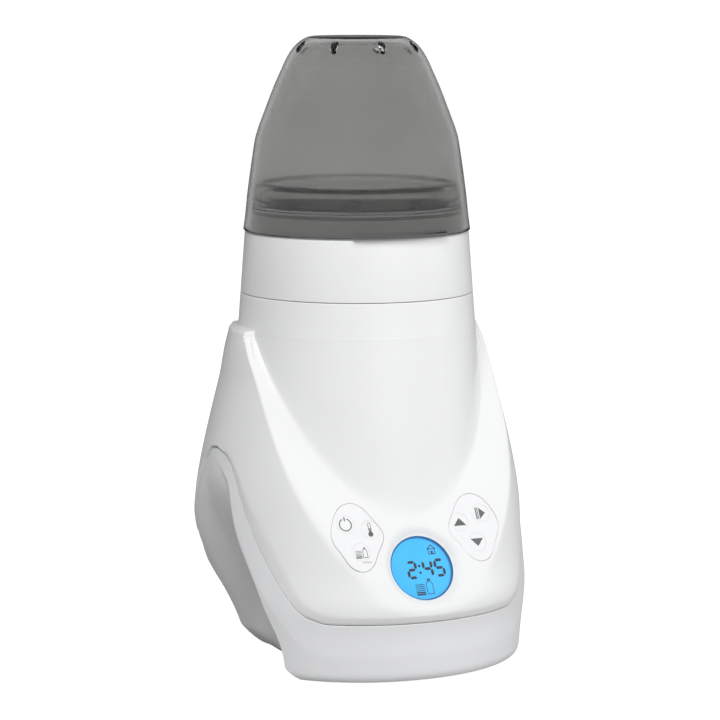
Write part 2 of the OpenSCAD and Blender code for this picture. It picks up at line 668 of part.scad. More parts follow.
module bottom_cover() {
    z = cover_z;
    color(grey) difference() {
        union() {
            translate([0, 0, z]) linear_extrude(cover_thick) polygon([for (k = base_t)
                let (c = edge_of(z, 2.3), t = column_t(abs(k), z, 2.3))
                let (r = base_r(t, z, c) - wall - 0.9) [sign(k) * r * sin(t), -r * cos(t)]]);
            for (p = power_board_at) translate([p[0], p[1], z]) cylinder(r = 3, h = board_z - z);
        }
        for (p = post_at) translate([p[0], p[1], z - 1]) cylinder(r = 1.7, h = 4);
        for (p = power_board_at) translate([p[0], p[1], board_z - 5]) cylinder(r = 1.02, h = 6, $fn = 32);
        for (i = [-3:3]) translate([i * 5 - 1, -12, z - 1]) cube([2, 30, 4]);
    }
}

module base_screws() {
    color(steel) for (p = post_at) translate([p[0], p[1], cover_z - 0.02]) screw(3, 1.1, 1.5, 12);
}

module feet() {
    color(dark) for (p = feet_at) translate([p[0], p[1], 0])
        rotate_extrude($fn = 64) polygon([[0, 0], [5.6, 0], [6.2, 0.6], [6.5, cover_z - 0.01],
            [0, cover_z - 0.01]]);
}

main_housing();
lower_base();
upper_collar();
hood();
adapter_ring();
basket();
chamber();
chamber_gasket();
heat_shield();
heater_plate();
heating_element();
heater_screws();
thermostat();
thermal_fuse();
display_lens();
lcd_panel();
backlight();
display_holder();
control_board();
key_switches();
controller_chip();
board_screws();
left_keypad();
right_keypad();
power_key();
temperature_key();
bottle_key();
up_key();
start_key();
down_key();
ribbon_cable();
power_board();
power_parts();
buzzer();
water_tank();
tank_lid();
lid_pin();
valve_stem();
valve_spring();
valve_seal();
tank_dock();
dock_seal();
feed_tube();
cord_bushing();
bottom_cover();
base_screws();
feet();
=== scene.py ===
"""Bottle warmer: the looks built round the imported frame. Metres, +Z up, the front faces -Y.

Shapes are worked out in millimetres from the driving dimensions and formulas of the CAD
source, and scaled to metres when a mesh is made. Angles t run from the front towards +X.
"""
import math

import bmesh
import bpy
import numpy as np
from mathutils import Matrix, Vector

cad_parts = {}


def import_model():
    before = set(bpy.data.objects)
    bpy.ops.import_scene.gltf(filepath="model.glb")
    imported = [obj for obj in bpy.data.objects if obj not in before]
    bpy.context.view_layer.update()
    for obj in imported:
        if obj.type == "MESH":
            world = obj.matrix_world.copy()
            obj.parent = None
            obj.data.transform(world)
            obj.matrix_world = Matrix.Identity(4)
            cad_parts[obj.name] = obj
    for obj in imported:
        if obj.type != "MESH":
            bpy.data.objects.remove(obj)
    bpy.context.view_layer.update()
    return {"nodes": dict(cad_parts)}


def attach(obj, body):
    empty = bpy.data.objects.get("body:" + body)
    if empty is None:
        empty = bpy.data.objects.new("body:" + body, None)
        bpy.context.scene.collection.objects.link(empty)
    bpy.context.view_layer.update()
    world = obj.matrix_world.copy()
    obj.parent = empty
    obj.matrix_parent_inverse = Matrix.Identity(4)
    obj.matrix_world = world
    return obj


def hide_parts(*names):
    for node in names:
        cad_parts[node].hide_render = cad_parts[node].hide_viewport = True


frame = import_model()
MM = 0.001

# ---- driving dimensions, millimetres and degrees ----
TOWER_R, TOWER_TAPER = 50.3, 0.0755
COLLAR_Z, HOOD_Z, HOOD_TOP = 163.0, 190.5, 277.0
HALF_W, HALF_D = 74.0, 80.8
SHOULDER_Z, WALL = 148.0, 2.4
U_LINE_Z, PANEL_TILT = 71.5, 60.0
SEAM_Z, GRIP_DEPTH, BASE_Z, GAP = 27.0, 26.5, 1.2, 0.3
DISPLAY_Z, DISH_DEPTH, DISH_R, WINDOW_R = 50.2, 2.5, 19.6, 14.8
KEY_R, TANK_HALF, TANK_Z, TANK_WALL = 4.2, 54.0, 52.0, 1.8
BAY = 180 - TANK_HALF - 1
BAND_IN = 1.1
SPIGOT_Z = HOOD_Z + 8.1
KEYS = [(21.5, 18.6), (32.4, 21.8), (28.0, 8.7)]
VALVE_Y = 70.4
INLET_X, INLET_Z, INLET_R = 22.0, 14.0, 5.0
LID_Z, LID_THICK = SHOULDER_Z - 5.6, 1.8
HINGE_Y, HINGE_Z, HINGE_R, PIN_R = 76.4, LID_Z + LID_THICK / 2, 2.6, 1.2


# ---- small maths ----
def clamp01(x):
    return np.clip(x, 0.0, 1.0)


def smooth(x):
    x = clamp01(x)
    return x * x * (3 - 2 * x)


def mix(a, b, f):
    return a + (b - a) * f


def sind(t):
    return np.sin(np.radians(t))


def cosd(t):
    return np.cos(np.radians(t))


def soft_min(a, b, k):
    """The smaller of a and b, with the crossing rounded over k."""
    h = clamp01(0.5 + 0.5 * (b - a) / k)
    return mix(b, a, h) - k * h * (1 - h)


def soft_max(a, b, k):
    return -soft_min(-a, -b, k)


# ---- outer surface of the body: a radius over angle and height ----
def tower_at(z):
    return TOWER_R + TOWER_TAPER * (HOOD_Z - z)


def floor_tuck(z):
    low = np.minimum(z, 5.0)
    return 1.4 * np.maximum(0, 1 - z / 30) ** 2 + 5 - np.sqrt(25 - (5 - low) ** 2)


def body_a(z):
    bend = (z - HALF_W) + np.sqrt((z - HALF_W) ** 2 + 144)
    return HALF_W - 0.12 * bend + 1.4 * smooth((z - 122) / 20) - floor_tuck(z)


def body_b(z):
    bend = (z - 98) + np.sqrt((z - 98) ** 2 + 1296)
    return HALF_D - 0.225 * bend + 2.6 * np.exp(-(((z - 34) / 9) ** 2)) - floor_tuck(z)


def oval(t, z):
    n = 2 + 0.12 * smooth((75 - z) / 40)
    return (np.abs(sind(t) / body_a(z)) ** n + np.abs(cosd(t) / body_b(z)) ** n) ** (-1 / n)


def fill(t, z):
    rear = 81.1 - 9.4 * np.maximum(0, (z - 75) / 73) ** 2
    return (rear - body_b(z)) * smooth((np.abs(t) - 118) / 50) * smooth(z / 40)


def undercut(t, z):
    a = np.abs(t)
    top = mix(92, 66, smooth((a - 95) / 17)) - 14 * smooth((a - 112) / 25)
    depth = GRIP_DEPTH - 3.5 * smooth((a - 100) / 18) - 7 * smooth((a - 120) / 35)
    span = top * mix(0.76, 1, smooth((a - 84) / 26))
    toe = 5.5 * smooth((10 - z) / 10) * smooth((a - 60) / 20)
    return depth * smooth((top - z) / span) + toe


def outer_r(t, z):
    return oval(t, z) + fill(t, z) - undercut(t, z) * smooth((np.abs(t) - 96) / 12)


def edge_y(z):
    rise = 0.22 * ((z - 15) + np.sqrt((z - 15) ** 2 + 30))
    return -50.5 + rise - 3.5 * smooth((7 - z) / 7) + 4 * smooth((z - 35) / 30)


def arch_y(z):
    return edge_y(z) + 9 * np.maximum(0, (z - 80) / 10) ** 2


def angle_of(y, z):
    return np.degrees(np.arccos(clamp01(-y / oval(60.0, z))))


def panel_y(z):
    lean = (z - U_LINE_Z) / math.tan(math.radians(PANEL_TILT))
    return -tower_at(U_LINE_Z) + lean + 0.00165 * np.maximum(0, z - U_LINE_Z) ** 2


def panel_at(t, z):
    return np.where(cosd(t) > 0.05, -panel_y(z) / np.maximum(cosd(t), 0.05), 500.0)


# Joint between base and housing seen from the side: a hump over each grip.
SEAM_LINE = [
    (-90, SEAM_Z), (-66, SEAM_Z), (-60, 29.6), (-55, 34.9), (-50, 41), (-44, 49.4), (-36, 60.5),
    (-29, 72), (-22, 82.5), (-15, 90.2), (-8, 94.3), (0, 96), (8, 94.8), (15, 88), (22, 77),
    (28, 65.5), (33, 56.5), (37, 51.5), (41, 50), (90, 50),
]


def seam_of(t):
    ys, zs = zip(*SEAM_LINE)
    first = np.interp(-HALF_W * cosd(t), ys, zs)
    return np.interp(-oval(t, first) * cosd(t), ys, zs)


def band_of(t):
    a = np.abs(t)
    return seam_of(t) + 3.6 + 8 * np.exp(-(((a - 56) / 14) ** 2)) - 2.6 * smooth((a - 74) / 12)


def crossing(t, low, high, surface):
    """Height at which the panel sheet passes inside another surface, by bisection."""
    lo = np.full_like(t, low)
    hi = np.full_like(t, high)
    for _ in range(24):
        middle = (lo + hi) / 2
        outside = panel_at(t, middle) > surface(t, middle)
        lo = np.where(outside, middle, lo)
        hi = np.where(outside, hi, middle)
    return (lo + hi) / 2


WING_TOP = SHOULDER_Z - 0.6
RIDGE_SOFT, U_SOFT = 2.6, 1.3


def shell_r(t, z):
    band = BAND_IN * clamp01(1 - (z - seam_of(t)) / (band_of(t) - seam_of(t)))
    wing = soft_min(outer_r(t, z) - band, panel_at(t, z), RIDGE_SOFT)
    return soft_max(tower_at(z), wing, U_SOFT)


def at(t, r, z):
    """Points of a cylinder grid as an (n, 3) array."""
    t, r, z = np.broadcast_arrays(t, r, z)
    return np.stack([r * sind(t), -r * cosd(t), z], axis=-1)


# ---- the panel's own frame: u across, v up the slope, w out of the panel ----
PANEL_ORIGIN = np.array([0.0, float(panel_y(DISPLAY_Z)), DISPLAY_Z])
U_AXIS = np.array([1.0, 0.0, 0.0])
V_AXIS = np.array([0.0, cosd(PANEL_TILT), sind(PANEL_TILT)])
W_AXIS = np.array([0.0, -sind(PANEL_TILT), cosd(PANEL_TILT)])


def on_panel(points):
    p = np.asarray(points, float)
    return PANEL_ORIGIN + p[:, :1] * U_AXIS + p[:, 1:2] * V_AXIS + p[:, 2:3] * W_AXIS


def dished(points):
    """Sinks the part of a skin that lies round the display, as a bowl with a soft rim."""
    rel = points - PANEL_ORIGIN
    reach = np.hypot(rel @ U_AXIS, rel @ V_AXIS)
    f = clamp01((DISH_R - reach) / (DISH_R - WINDOW_R))
    depth = DISH_DEPTH * (1 - np.cos(f * math.pi / 2))
    near = (rel @ W_AXIS) > -8
    return points - np.where(near, depth, 0.0)[:, None] * W_AXIS


# ---- mesh builders ----
class Shape:
    """Vertices in millimetres and faces, gathered from several solids."""

    def __init__(self):
        self.verts, self.faces, self.count = [], [], 0

    def add(self, verts, faces, panel=False):
        verts = np.asarray(verts, float)
        self.verts.append(on_panel(verts) if panel else verts)
        self.faces += [tuple(i + self.count for i in f) for f in faces]
        self.count += len(verts)
        return self


def loft(rows, ring=False, cap=None):
    """Joins equal closed loops. ring closes the last to the first; cap is "fan" or "strip"."""
    n, m = len(rows[0]), len(rows)
    faces = []
    for j in range(m if ring else m - 1):
        a, b = j * n, (j + 1) % m * n
        faces += [(a + i, a + (i + 1) % n, b + (i + 1) % n, b + i) for i in range(n)]
    for start, flip in ((0, True), ((m - 1) * n, False)):
        if cap == "fan":
            loop = tuple(range(start, start + n))
            faces.append(loop[::-1] if flip else loop)
        if cap == "strip":
            for i in range(n // 2 - 1):
                quad = (start + i, start + i + 1, start + n - 2 - i, start + n - 1 - i)
                faces.append(quad[::-1] if flip else quad)
    return np.concatenate(rows), faces


def circle(n):
    return np.arange(n) * 360.0 / n


def lathe(profile, n=144, ring=True, centre=(0, 0)):
    """Turns a profile of (radius, height) about a vertical axis."""
    rows = [at(circle(n), r, z) + (centre[0], centre[1], 0) for r, z in profile]
    return loft(rows, ring=ring)


def fillet(points, closed=True, steps=4):
    """Rounds the corners of an outline. A point is (x, y) or (x, y, radius)."""
    out, n = [], len(points)
    for i, p in enumerate(points):
        here = np.array(p[:2], float)
        if len(p) < 3 or (not closed and i in (0, n - 1)):
            out.append(here)
            continue
        back = np.array(points[i - 1][:2], float) - here
        ahead = np.array(points[(i + 1) % n][:2], float) - here
        room = 0.48 * min(np.linalg.norm(back), np.linalg.norm(ahead))
        back, ahead = back / np.linalg.norm(back), ahead / np.linalg.norm(ahead)
        half = math.acos(max(-1, min(1, back @ ahead))) / 2
        cut = min(p[2] / math.tan(half), room)
        radius = cut * math.tan(half)
        middle = here + (back + ahead) / np.linalg.norm(back + ahead) * radius / math.sin(half)
        a, b = here + back * cut - middle, here + ahead * cut - middle
        sweep = math.pi - 2 * half
        for k in range(steps + 1):
            f = k / steps
            arc = (a * math.sin((1 - f) * sweep) + b * math.sin(f * sweep)) / math.sin(sweep)
            out.append(middle + arc)
    return out


def spline(points, per=6):
    """A smooth line through the points (Catmull-Rom)."""
    p = [np.array(q, float) for q in points]
    p = [2 * p[0] - p[1]] + p + [2 * p[-1] - p[-2]]
    out = []
    for a, b, c, d in zip(p, p[1:], p[2:], p[3:]):
        for k in range(per):
            f = k / per
            out.append(
                0.5 * (2 * b + (c - a) * f + (2 * a - 5 * b + 4 * c - d) * f**2
                       + (3 * b - a - 3 * c + d) * f**3)
            )
    return out + [p[-2]]


def prism(outline, low, high):
    """A flat shape between two heights."""
    o = np.array([(x, y, 0) for x, y in outline], float)
    return loft([o + (0, 0, low), o + (0, 0, high)], cap="fan")


def box_shape(low, high):
    x0, y0, z0 = low
    x1, y1, z1 = high
    return prism([(x0, y0), (x1, y0), (x1, y1), (x0, y1)], z0, z1)


def mesh_object(name, shape, weld=2e-6, crease=35):
    """Makes the Blender object of a shape, welded, facing outwards and smooth."""
    mesh = bpy.data.meshes.new(name)
    mesh.from_pydata((np.concatenate(shape.verts) * MM).tolist(), [], shape.faces)
    bm = bmesh.new()
    bm.from_mesh(mesh)
    bmesh.ops.remove_doubles(bm, verts=bm.verts, dist=weld)
    bmesh.ops.dissolve_degenerate(bm, edges=bm.edges, dist=weld / 4)
    bmesh.ops.recalc_face_normals(bm, faces=bm.faces)
    bm.to_mesh(mesh)
    bm.free()
    obj = bpy.data.objects.new(name, mesh)
    bpy.context.scene.collection.objects.link(obj)
    shade(obj, crease)
    return obj


def shade(obj, crease):
    obj.data.shade_smooth()
    obj.data.set_sharp_from_angle(angle=math.radians(crease))


def boolean(obj, other, operation="DIFFERENCE", crease=35):
    """Cuts or joins another closed mesh, and removes it."""
    modifier = obj.modifiers.new("boolean", "BOOLEAN")
    modifier.operation = operation
    modifier.solver = "MANIFOLD"
    modifier.object = other
    graph = bpy.context.evaluated_depsgraph_get()
    mesh = bpy.data.meshes.new_from_object(obj.evaluated_get(graph))
    obj.modifiers.clear()
    old, obj.data = obj.data, mesh
    bpy.data.meshes.remove(old)
    bpy.data.objects.remove(other)
    shade(obj, crease)
    return obj


def piece(obj, body, material, slot, *nodes):
    """Gives a piece its finish and body, and the CAD nodes that it stands for."""
    obj.data.materials.clear()
    obj.data.materials.append(material)
    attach(obj, body)
    if nodes:
        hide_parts(*nodes)
    return obj


# ---- materials ----
class Nodes:
    """Short names for building one material's node tree."""

    def __init__(self, name):
        self.material = bpy.data.materials.new(name)
        self.material.use_nodes = True
        self.tree = self.material.node_tree
        self.shader = self.tree.nodes["Principled BSDF"]
        self.coords = self.add("ShaderNodeTexCoord").outputs["Object"]

    def add(self, kind, **values):
        node = self.tree.nodes.new(kind)
        for key, value in values.items():
            setattr(node, key, value)
        return node

    def set(self, **values):
        for key, value in values.items():
            self.shader.inputs[key.replace("_", " ")].default_value = value
        return self

    def link(self, output, target):
        self.tree.links.new(output, target)

    def noise(self, scale, detail=2.0, stretch=(1, 1, 1)):
        place = self.add("ShaderNodeMapping")
        place.inputs["Scale"].default_value = stretch
        self.link(self.coords, place.inputs["Vector"])
        node = self.add("ShaderNodeTexNoise")
        node.inputs["Scale"].default_value = scale
        node.inputs["Detail"].default_value = detail
        self.link(place.outputs["Vector"], node.inputs["Vector"])
        return node.outputs["Fac"]

    def ramp(self, factor, stops):
        node = self.add("ShaderNodeValToRGB")
        while len(node.color_ramp.elements) < len(stops):
            node.color_ramp.elements.new(0.5)
        for element, (position, colour) in zip(node.color_ramp.elements, stops):
            element.position = position
            element.color = (*colour, 1)
        self.link(factor, node.inputs["Fac"])
        return node.outputs["Color"]

    def remap(self, factor, low, high):
        node = self.add("ShaderNodeMapRange")
        node.inputs["To Min"].default_value = low
        node.inputs["To Max"].default_value = high
        self.link(factor, node.inputs["Value"])
        return node.outputs["Result"]

    def bump(self, height, distance, strength=1.0):
        node = self.add("ShaderNodeBump")
        node.inputs["Strength"].default_value = strength
        node.inputs["Distance"].default_value = distance
        self.link(height, node.inputs["Height"])
        self.link(node.outputs["Normal"], self.shader.inputs["Normal"])


def shades(colour, spread):
    """Two stops of a ramp, a little darker and a little lighter than a colour."""
    dark = tuple(c * (1 - spread) for c in colour)
    light = tuple(min(1, c * (1 + spread)) for c in colour)
    return [(0.3, dark), (0.7, light)]


def moulded(name, colour, rough=0.35, spread=0.015, grain=2600, depth=8e-6, **values):
    """Moulded plastic: a fine spark-eroded grain, with faint clouds in colour and gloss."""
    n = Nodes(name).set(**values)
    clouds = n.noise(14, 3)
    n.link(n.ramp(clouds, shades(colour, spread)), n.shader.inputs["Base Color"])
    n.link(n.remap(n.noise(60, 4), rough - 0.04, rough + 0.04), n.shader.inputs["Roughness"])
    n.bump(n.noise(grain, 3), depth)
    return n.material


def metal(name, colour, rough=0.3, stretch=(1, 1, 60), scale=90, depth=6e-6):
    """Drawn or brushed metal, with fine streaks along one direction."""
    n = Nodes(name).set(Metallic=1.0)
    streaks = n.noise(scale, 5, stretch)
    n.link(n.ramp(streaks, shades(colour, 0.06)), n.shader.inputs["Base Color"])
    n.link(n.remap(streaks, rough - 0.08, rough + 0.1), n.shader.inputs["Roughness"])
    n.bump(streaks, depth)
    return n.material


def tinted(name, colour, rough=0.08, spread=0.03, transmission=1.0):
    """See-through plastic, with faint flow clouds in its tint and gloss."""
    n = Nodes(name).set(IOR=1.49, Transmission_Weight=transmission)
    n.link(n.ramp(n.noise(22, 2), shades(colour, spread)), n.shader.inputs["Base Color"])
    n.link(n.remap(n.noise(45, 3), rough * 0.7, rough * 1.3), n.shader.inputs["Roughness"])
    n.bump(n.noise(300, 2), 4e-6)
    return n.material


def circuit_board():
    n = Nodes("circuit_board")
    cells = n.add("ShaderNodeTexVoronoi", feature="DISTANCE_TO_EDGE")
    cells.inputs["Scale"].default_value = 300
    n.link(n.coords, cells.inputs["Vector"])
    stops = [(0.02, (0.10, 0.32, 0.16)), (0.06, (0.02, 0.13, 0.06))]
    n.link(n.ramp(cells.outputs["Distance"], stops), n.shader.inputs["Base Color"])
    n.link(n.remap(n.noise(200), 0.3, 0.45), n.shader.inputs["Roughness"])
    n.bump(cells.outputs["Distance"], 2e-5)
    return n.material


def lcd_blue():
    """Backlit display: even sky blue with faint clouds in its tone, and a fine grain."""
    n = Nodes("lcd_blue").set(Roughness=0.35, Emission_Strength=0.62)
    clouds = n.noise(70, 1)
    blue = n.ramp(clouds, [(0.2, (0.035, 0.47, 0.90)), (0.8, (0.060, 0.53, 0.97))])
    n.link(blue, n.shader.inputs["Base Color"])
    n.link(blue, n.shader.inputs["Emission Color"])
    n.bump(n.noise(4000, 1), 3e-6)
    return n.material


def printed(name, colour):
    """Pad-printed ink: slightly uneven in tone and gloss."""
    n = Nodes(name)
    n.link(n.ramp(n.noise(900, 3), shades(colour, 0.12)), n.shader.inputs["Base Color"])
    n.link(n.remap(n.noise(500), 0.4, 0.6), n.shader.inputs["Roughness"])
    return n.material


WHITE = (0.86, 0.865, 0.87)
M = {
    "white_shell": moulded("white_shell", WHITE, 0.30, Coat_Weight=0.15, Coat_Roughness=0.2),
    # Painted shade: the base is the same white plastic as the shell, given a darker colour that stands
    # in for the shade that falls on it.
    "white_base": moulded("white_base", (0.765, 0.77, 0.78), 0.36),
    "white_insert": moulded("white_insert", (0.84, 0.845, 0.85), 0.4),
    "key_white": moulded("key_white", (0.85, 0.855, 0.865), 0.45, grain=3500),
    "smoke_hood": tinted("smoke_hood", (0.485, 0.485, 0.478), 0.08),
    "smoke_ring": tinted("smoke_ring", (0.86, 0.86, 0.855), 0.10, transmission=0.94),
    "smoke_tank": tinted("smoke_tank", (0.44, 0.44, 0.435), 0.14),
    "lens_clear": tinted("lens_clear", (0.90, 0.97, 1.0), 0.03),
    "lcd_blue": lcd_blue(),
    # Painted glow and shade: the well wall round the display is white plastic, coloured dark blue to
    # stand in for the display's blue light on it and the shade of the recess.
    "liner_painted_glow_shade": moulded("liner_painted_glow_shade", (0.03, 0.27, 0.62), 0.3, spread=0.06),
    "backlight_white": moulded("backlight_white", (0.85, 0.9, 0.95), 0.3),
    "stainless": metal("stainless", (0.62, 0.62, 0.63), 0.28, (1, 1, 40)),
    "aluminium_plate": metal("aluminium_plate", (0.77, 0.77, 0.78), 0.4, (40, 1, 1)),
    "element_sheath": metal("element_sheath", (0.30, 0.29, 0.29), 0.5, (1, 1, 1), 400),
    "zinc_screw": metal("zinc_screw", (0.70, 0.70, 0.68), 0.3, (1, 1, 6), 700),
    "black_rubber": moulded("black_rubber", (0.03, 0.03, 0.032), 0.75, 0.2, 1500, 2e-5),
    "silicone": moulded("silicone", (0.55, 0.55, 0.54), 0.5, 0.04, 900, 1e-5),
    "black_plastic": moulded("black_plastic", (0.025, 0.026, 0.028), 0.42, 0.15),
    "ceramic_body": moulded("ceramic_body", (0.72, 0.71, 0.68), 0.6, 0.05, 1200, 2e-5),
    "circuit_board": circuit_board(),
    "ribbon": moulded("ribbon", (0.45, 0.46, 0.48), 0.5, 0.08),
    "grey_cover": moulded("grey_cover", (0.36, 0.365, 0.375), 0.5, 0.05, 1400, 2.5e-5),
    "ink_grey": printed("ink_grey", (0.15, 0.15, 0.155)),
    "lcd_ink": printed("lcd_ink", (0.055, 0.045, 0.045)),
}


# ---- shells ----
def housing_columns():
    """Angles of the front part, finer round the display, then the bare tower behind."""
    side = np.linspace(20, BAY, 92)
    front = np.concatenate([-side[::-1], np.linspace(-20, 20, 101)[1:-1], side])
    rear = np.linspace(BAY, 360 - BAY, 60)
    return front, rear


def spread_between(a, b, n, power=1.0):
    """n heights from a, left out, to b, with the steps shortening towards b."""
    f = np.arange(1, n + 1) / n
    return [mix(a, b, 1 - (1 - x) ** power) for x in f]


def housing_profile(t, bare):
    """The rows of one skin as (radius, height) arrays over the angles t."""
    top = WING_TOP - 1.8
    seam = seam_of(t) + GAP / 2
    u_line = np.where(np.abs(t) > 85, top - 0.4, crossing(t, 60.0, top - 0.4, lambda a, z: tower_at(z)))
    ridge = np.where(np.abs(t) > 85, top - 0.8, crossing(t, 28.0, top - 0.8, oval))
    ridge = np.minimum(ridge, u_line - 1)
    # Past the ridge's upper end its rows spread out over the plain side of the wing.
    past = smooth((np.abs(t) - 80) / 14)
    band = np.minimum(band_of(t), ridge - 1)
    ridge = mix(ridge, mix(band, top, 0.45), past)
    u_line = mix(u_line, mix(band, top, 0.85), past)
    heights = [seam, seam + 0.4] + spread_between(seam + 0.4, band, 4)
    heights += spread_between(band, ridge, 30, 1.5) + spread_between(ridge, u_line, 52)
    heights += spread_between(u_line, np.full_like(t, top), 16)
    rows = [(tower_at(z) if bare else shell_r(t, z), z) for z in heights]
    rows[0] = (rows[0][0] - 0.35, rows[0][1])
    # Level shoulder with a rounded outer edge and a fillet against the tower.
    outer = rows[-1][0]
    width = np.maximum(outer - tower_at(SHOULDER_Z), 0)
    rise = SHOULDER_Z - top
    edge = np.minimum(rise, 0.5 * width)
    for a in (18, 36, 54, 72, 90):
        rows.append((outer - edge * (1 - cosd(a)), top + rise * sind(a)))
    foot = np.minimum(1.2, 0.5 * width)
    for a in (0, 22, 45, 68, 90):
        r = tower_at(SHOULDER_Z) + foot * (1 - sind(a))
        rows.append((r, SHOULDER_Z + 0.02 + 1.2 * (1 - cosd(a))))
    for z in spread_between(SHOULDER_Z + 1.3, COLLAR_Z - 0.35, 8):
        rows.append((tower_at(z), z))
    rows.append((tower_at(COLLAR_Z) - 0.3, COLLAR_Z))
    return rows


def main_housing():
    front, rear = housing_columns()
    near, far = housing_profile(front, False), housing_profile(rear, True)
    skins = []
    for inset, shift in ((0, 0), (WALL, 2.2)):
        turn = (BAY - shift) / BAY
        rows = []
        for (r, z), (_, rz) in zip(near, far):
            z, rz = np.broadcast_to(z, front.shape), np.broadcast_to(rz, rear.shape)
            tail = np.clip(rear, BAY - shift, 360 - BAY + shift)
            tail = np.where(rear == BAY, BAY - shift, np.where(rear == rear[-1], rear + shift, tail))
            rows.append(dished(np.concatenate([
                at(front * turn, r - inset, z), at(tail, tower_at(rz) - inset, rz)])))
        skins.append(rows)
    shell = mesh_object("housing_shell", Shape().add(*loft(skins[0] + skins[1][::-1], ring=True)))
    window = [(WINDOW_R * math.cos(a), WINDOW_R * math.sin(a)) for a in np.radians(circle(180))]
    cutter = Shape().add(*prism(window, -14, 6), panel=True)
    for side in (-1, 1):
        cutter.add(*prism(pad_outline(side, 0.16), -9, 4), panel=True)
    boolean(shell, mesh_object("housing_cutter", cutter))
    piece(shell, "base", M["white_shell"], "white_shell", "main_housing")


def pad_outline(side, grow, n=144):
    """Outline of a keypad: a rounded kite round its three keys."""
    p = circle(n)
    r = (12.9 + 0.5 * cosd(p) + 0.7 * sind(p) - 1.8 * cosd(2 * p) + 0.3 * sind(2 * p)
         - 0.45 * cosd(3 * p) + 0.3 * sind(3 * p) + 0.9 * cosd(4 * p)) + grow
    return list(zip(side * (27.8 + r * cosd(p)), 15.2 + r * sind(p)))


def base_columns(z, shift):
    """Angles of the base's columns at given heights: the grip's edge is a column of its own."""
    share = np.concatenate([np.linspace(0, 0.92, 50)[:-1], np.linspace(0.92, 1, 24)])
    ramp = np.array([0.2, 0.4, 0.7, 1.0, 1.4, 1.8, 2.2, 2.7, 3.2])
    rear = np.linspace(0, 1, 96)[1:]
    n, m = len(share), len(ramp)
    z = np.broadcast_to(z, n + m + len(rear))
    edge, plain = angle_of(arch_y(z), z) - shift, angle_of(edge_y(z), z) - shift
    t = np.empty(len(z))
    t[:n] = share * plain[:n] + (edge[:n] - plain[:n]) * share**30
    t[n:n + m] = edge[n:n + m] + ramp
    t[n + m:] = mix(edge[n + m:] + 3.2, 180, rear)
    return t, edge


def base_r(t, z, edge):
    """The edge of the grip starts a touch early, which rounds it."""
    band = BAND_IN * clamp01(1 - (seam_of(t) - z) / 14)
    return oval(t, z) + fill(t, z) - band - undercut(t, z) * smooth((np.abs(t) - edge + 0.35) / 3.55)


def base_skin(inset, shift):
    n = len(base_columns(50.0, shift)[0])
    low, high = np.full(n, 20.0), np.full(n, 98.0)
    for _ in range(24):
        middle = (low + high) / 2
        under = middle < seam_of(base_columns(middle, shift)[0])
        low, high = np.where(under, middle, low), np.where(under, high, middle)
    top = low - GAP / 2
    heights = [np.full(n, BASE_Z + dz) for dz in (0, 0.25, 0.6, 1.1, 1.8, 2.7, 3.8, 5.2)]
    heights += [mix(heights[7], top - 0.35, f) for f in np.linspace(0, 1, 46)[1:]] + [top]
    rows = []
    for j, z in enumerate(heights):
        t, edge = base_columns(z, shift)
        r = base_r(t, z, edge) - inset - (0.3 if j == len(heights) - 1 else 0)
        half = at(t, r, z)
        rows.append(np.concatenate([half, (half * (-1, 1, 1))[-2:0:-1]]))
    return rows


def lower_base():
    rows = base_skin(0, 0) + base_skin(WALL, 2.3)[::-1]
    shell = mesh_object("base_shell", Shape().add(*loft(rows, ring=True)))
    x, z, r = INLET_X, INLET_Z, INLET_R + 0.05
    hole = [(x + r * math.cos(a), z + r * math.sin(a)) for a in np.radians(circle(48))]
    bore = loft([np.array([(x, y, z) for x, z in hole]) for y in (40, 80)], cap="fan")
    boolean(shell, mesh_object("base_cutter", Shape().add(*bore)))
    # The base's darker white is painted shade, not a different plastic.
    piece(shell, "base", M["white_base"], "white_base", "lower_base")


def upper_collar():
    low, high = COLLAR_Z + GAP, HOOD_Z
    profile = fillet([
        (48.2, low - 5), (49.6, low - 5, 0.3), (49.6, low), (tower_at(low), low, 0.3),
        (tower_at(high - 0.6), high - 0.6, 0.5), (tower_at(high) - 0.6, high, 0.3), (47.3, high, 0.3),
        (47.3, SPIGOT_Z, 0.25), (46.6, SPIGOT_Z, 0.2), (46.6, high - 6), (48.2, high - 8)])
    collar = mesh_object("collar_shell", Shape().add(*lathe(profile, 240)))
    piece(collar, "base", M["white_shell"], "white_shell", "upper_collar")


# ---- hood and ring ----
HOOD_LINE = [
    (51, 0), (50.1, 6.7), (48.7, 19.2), (45.9, 38.2), (44.3, 44.7), (42.1, 50.7), (37.3, 63.2),
    (33.6, 71.5), (31.9, 75.3), (29.7, 79.1), (27, 82.4), (23.6, 84.9), (19.5, 86.1),
]
HOOD_RIM = HOOD_Z + GAP
HOOD_WALL = 2.2


def hood_profile():
    scale = (HOOD_TOP - HOOD_RIM) / 86.1
    line = [(r, HOOD_RIM + z * scale) for r, z in HOOD_LINE] + [(10, HOOD_TOP), (0, HOOD_TOP)]
    outer = np.array(spline(line, 5))
    outer[:, 1] = np.minimum(outer[:, 1], HOOD_TOP)
    step = np.gradient(outer, axis=0)
    normal = np.stack([step[:, 1], -step[:, 0]], axis=-1)
    normal /= np.linalg.norm(normal, axis=1)[:, None]
    inner = outer - normal * HOOD_WALL
    inner[:, 0] = np.maximum(inner[:, 0], 0)
    inner[-1] = (0, HOOD_TOP - HOOD_WALL)
    inner[0, 1] = HOOD_RIM
    rim = [(inner[0, 0] + 0.5, HOOD_RIM), (inner[0, 0] + 0.1, HOOD_RIM + 0.25)]
    lip = [(outer[0, 0] - 0.03, HOOD_RIM + 0.35), (outer[0, 0] - 0.4, HOOD_RIM)]
    return list(outer[::-1][:-1]) + lip + rim + list(inner[1:])


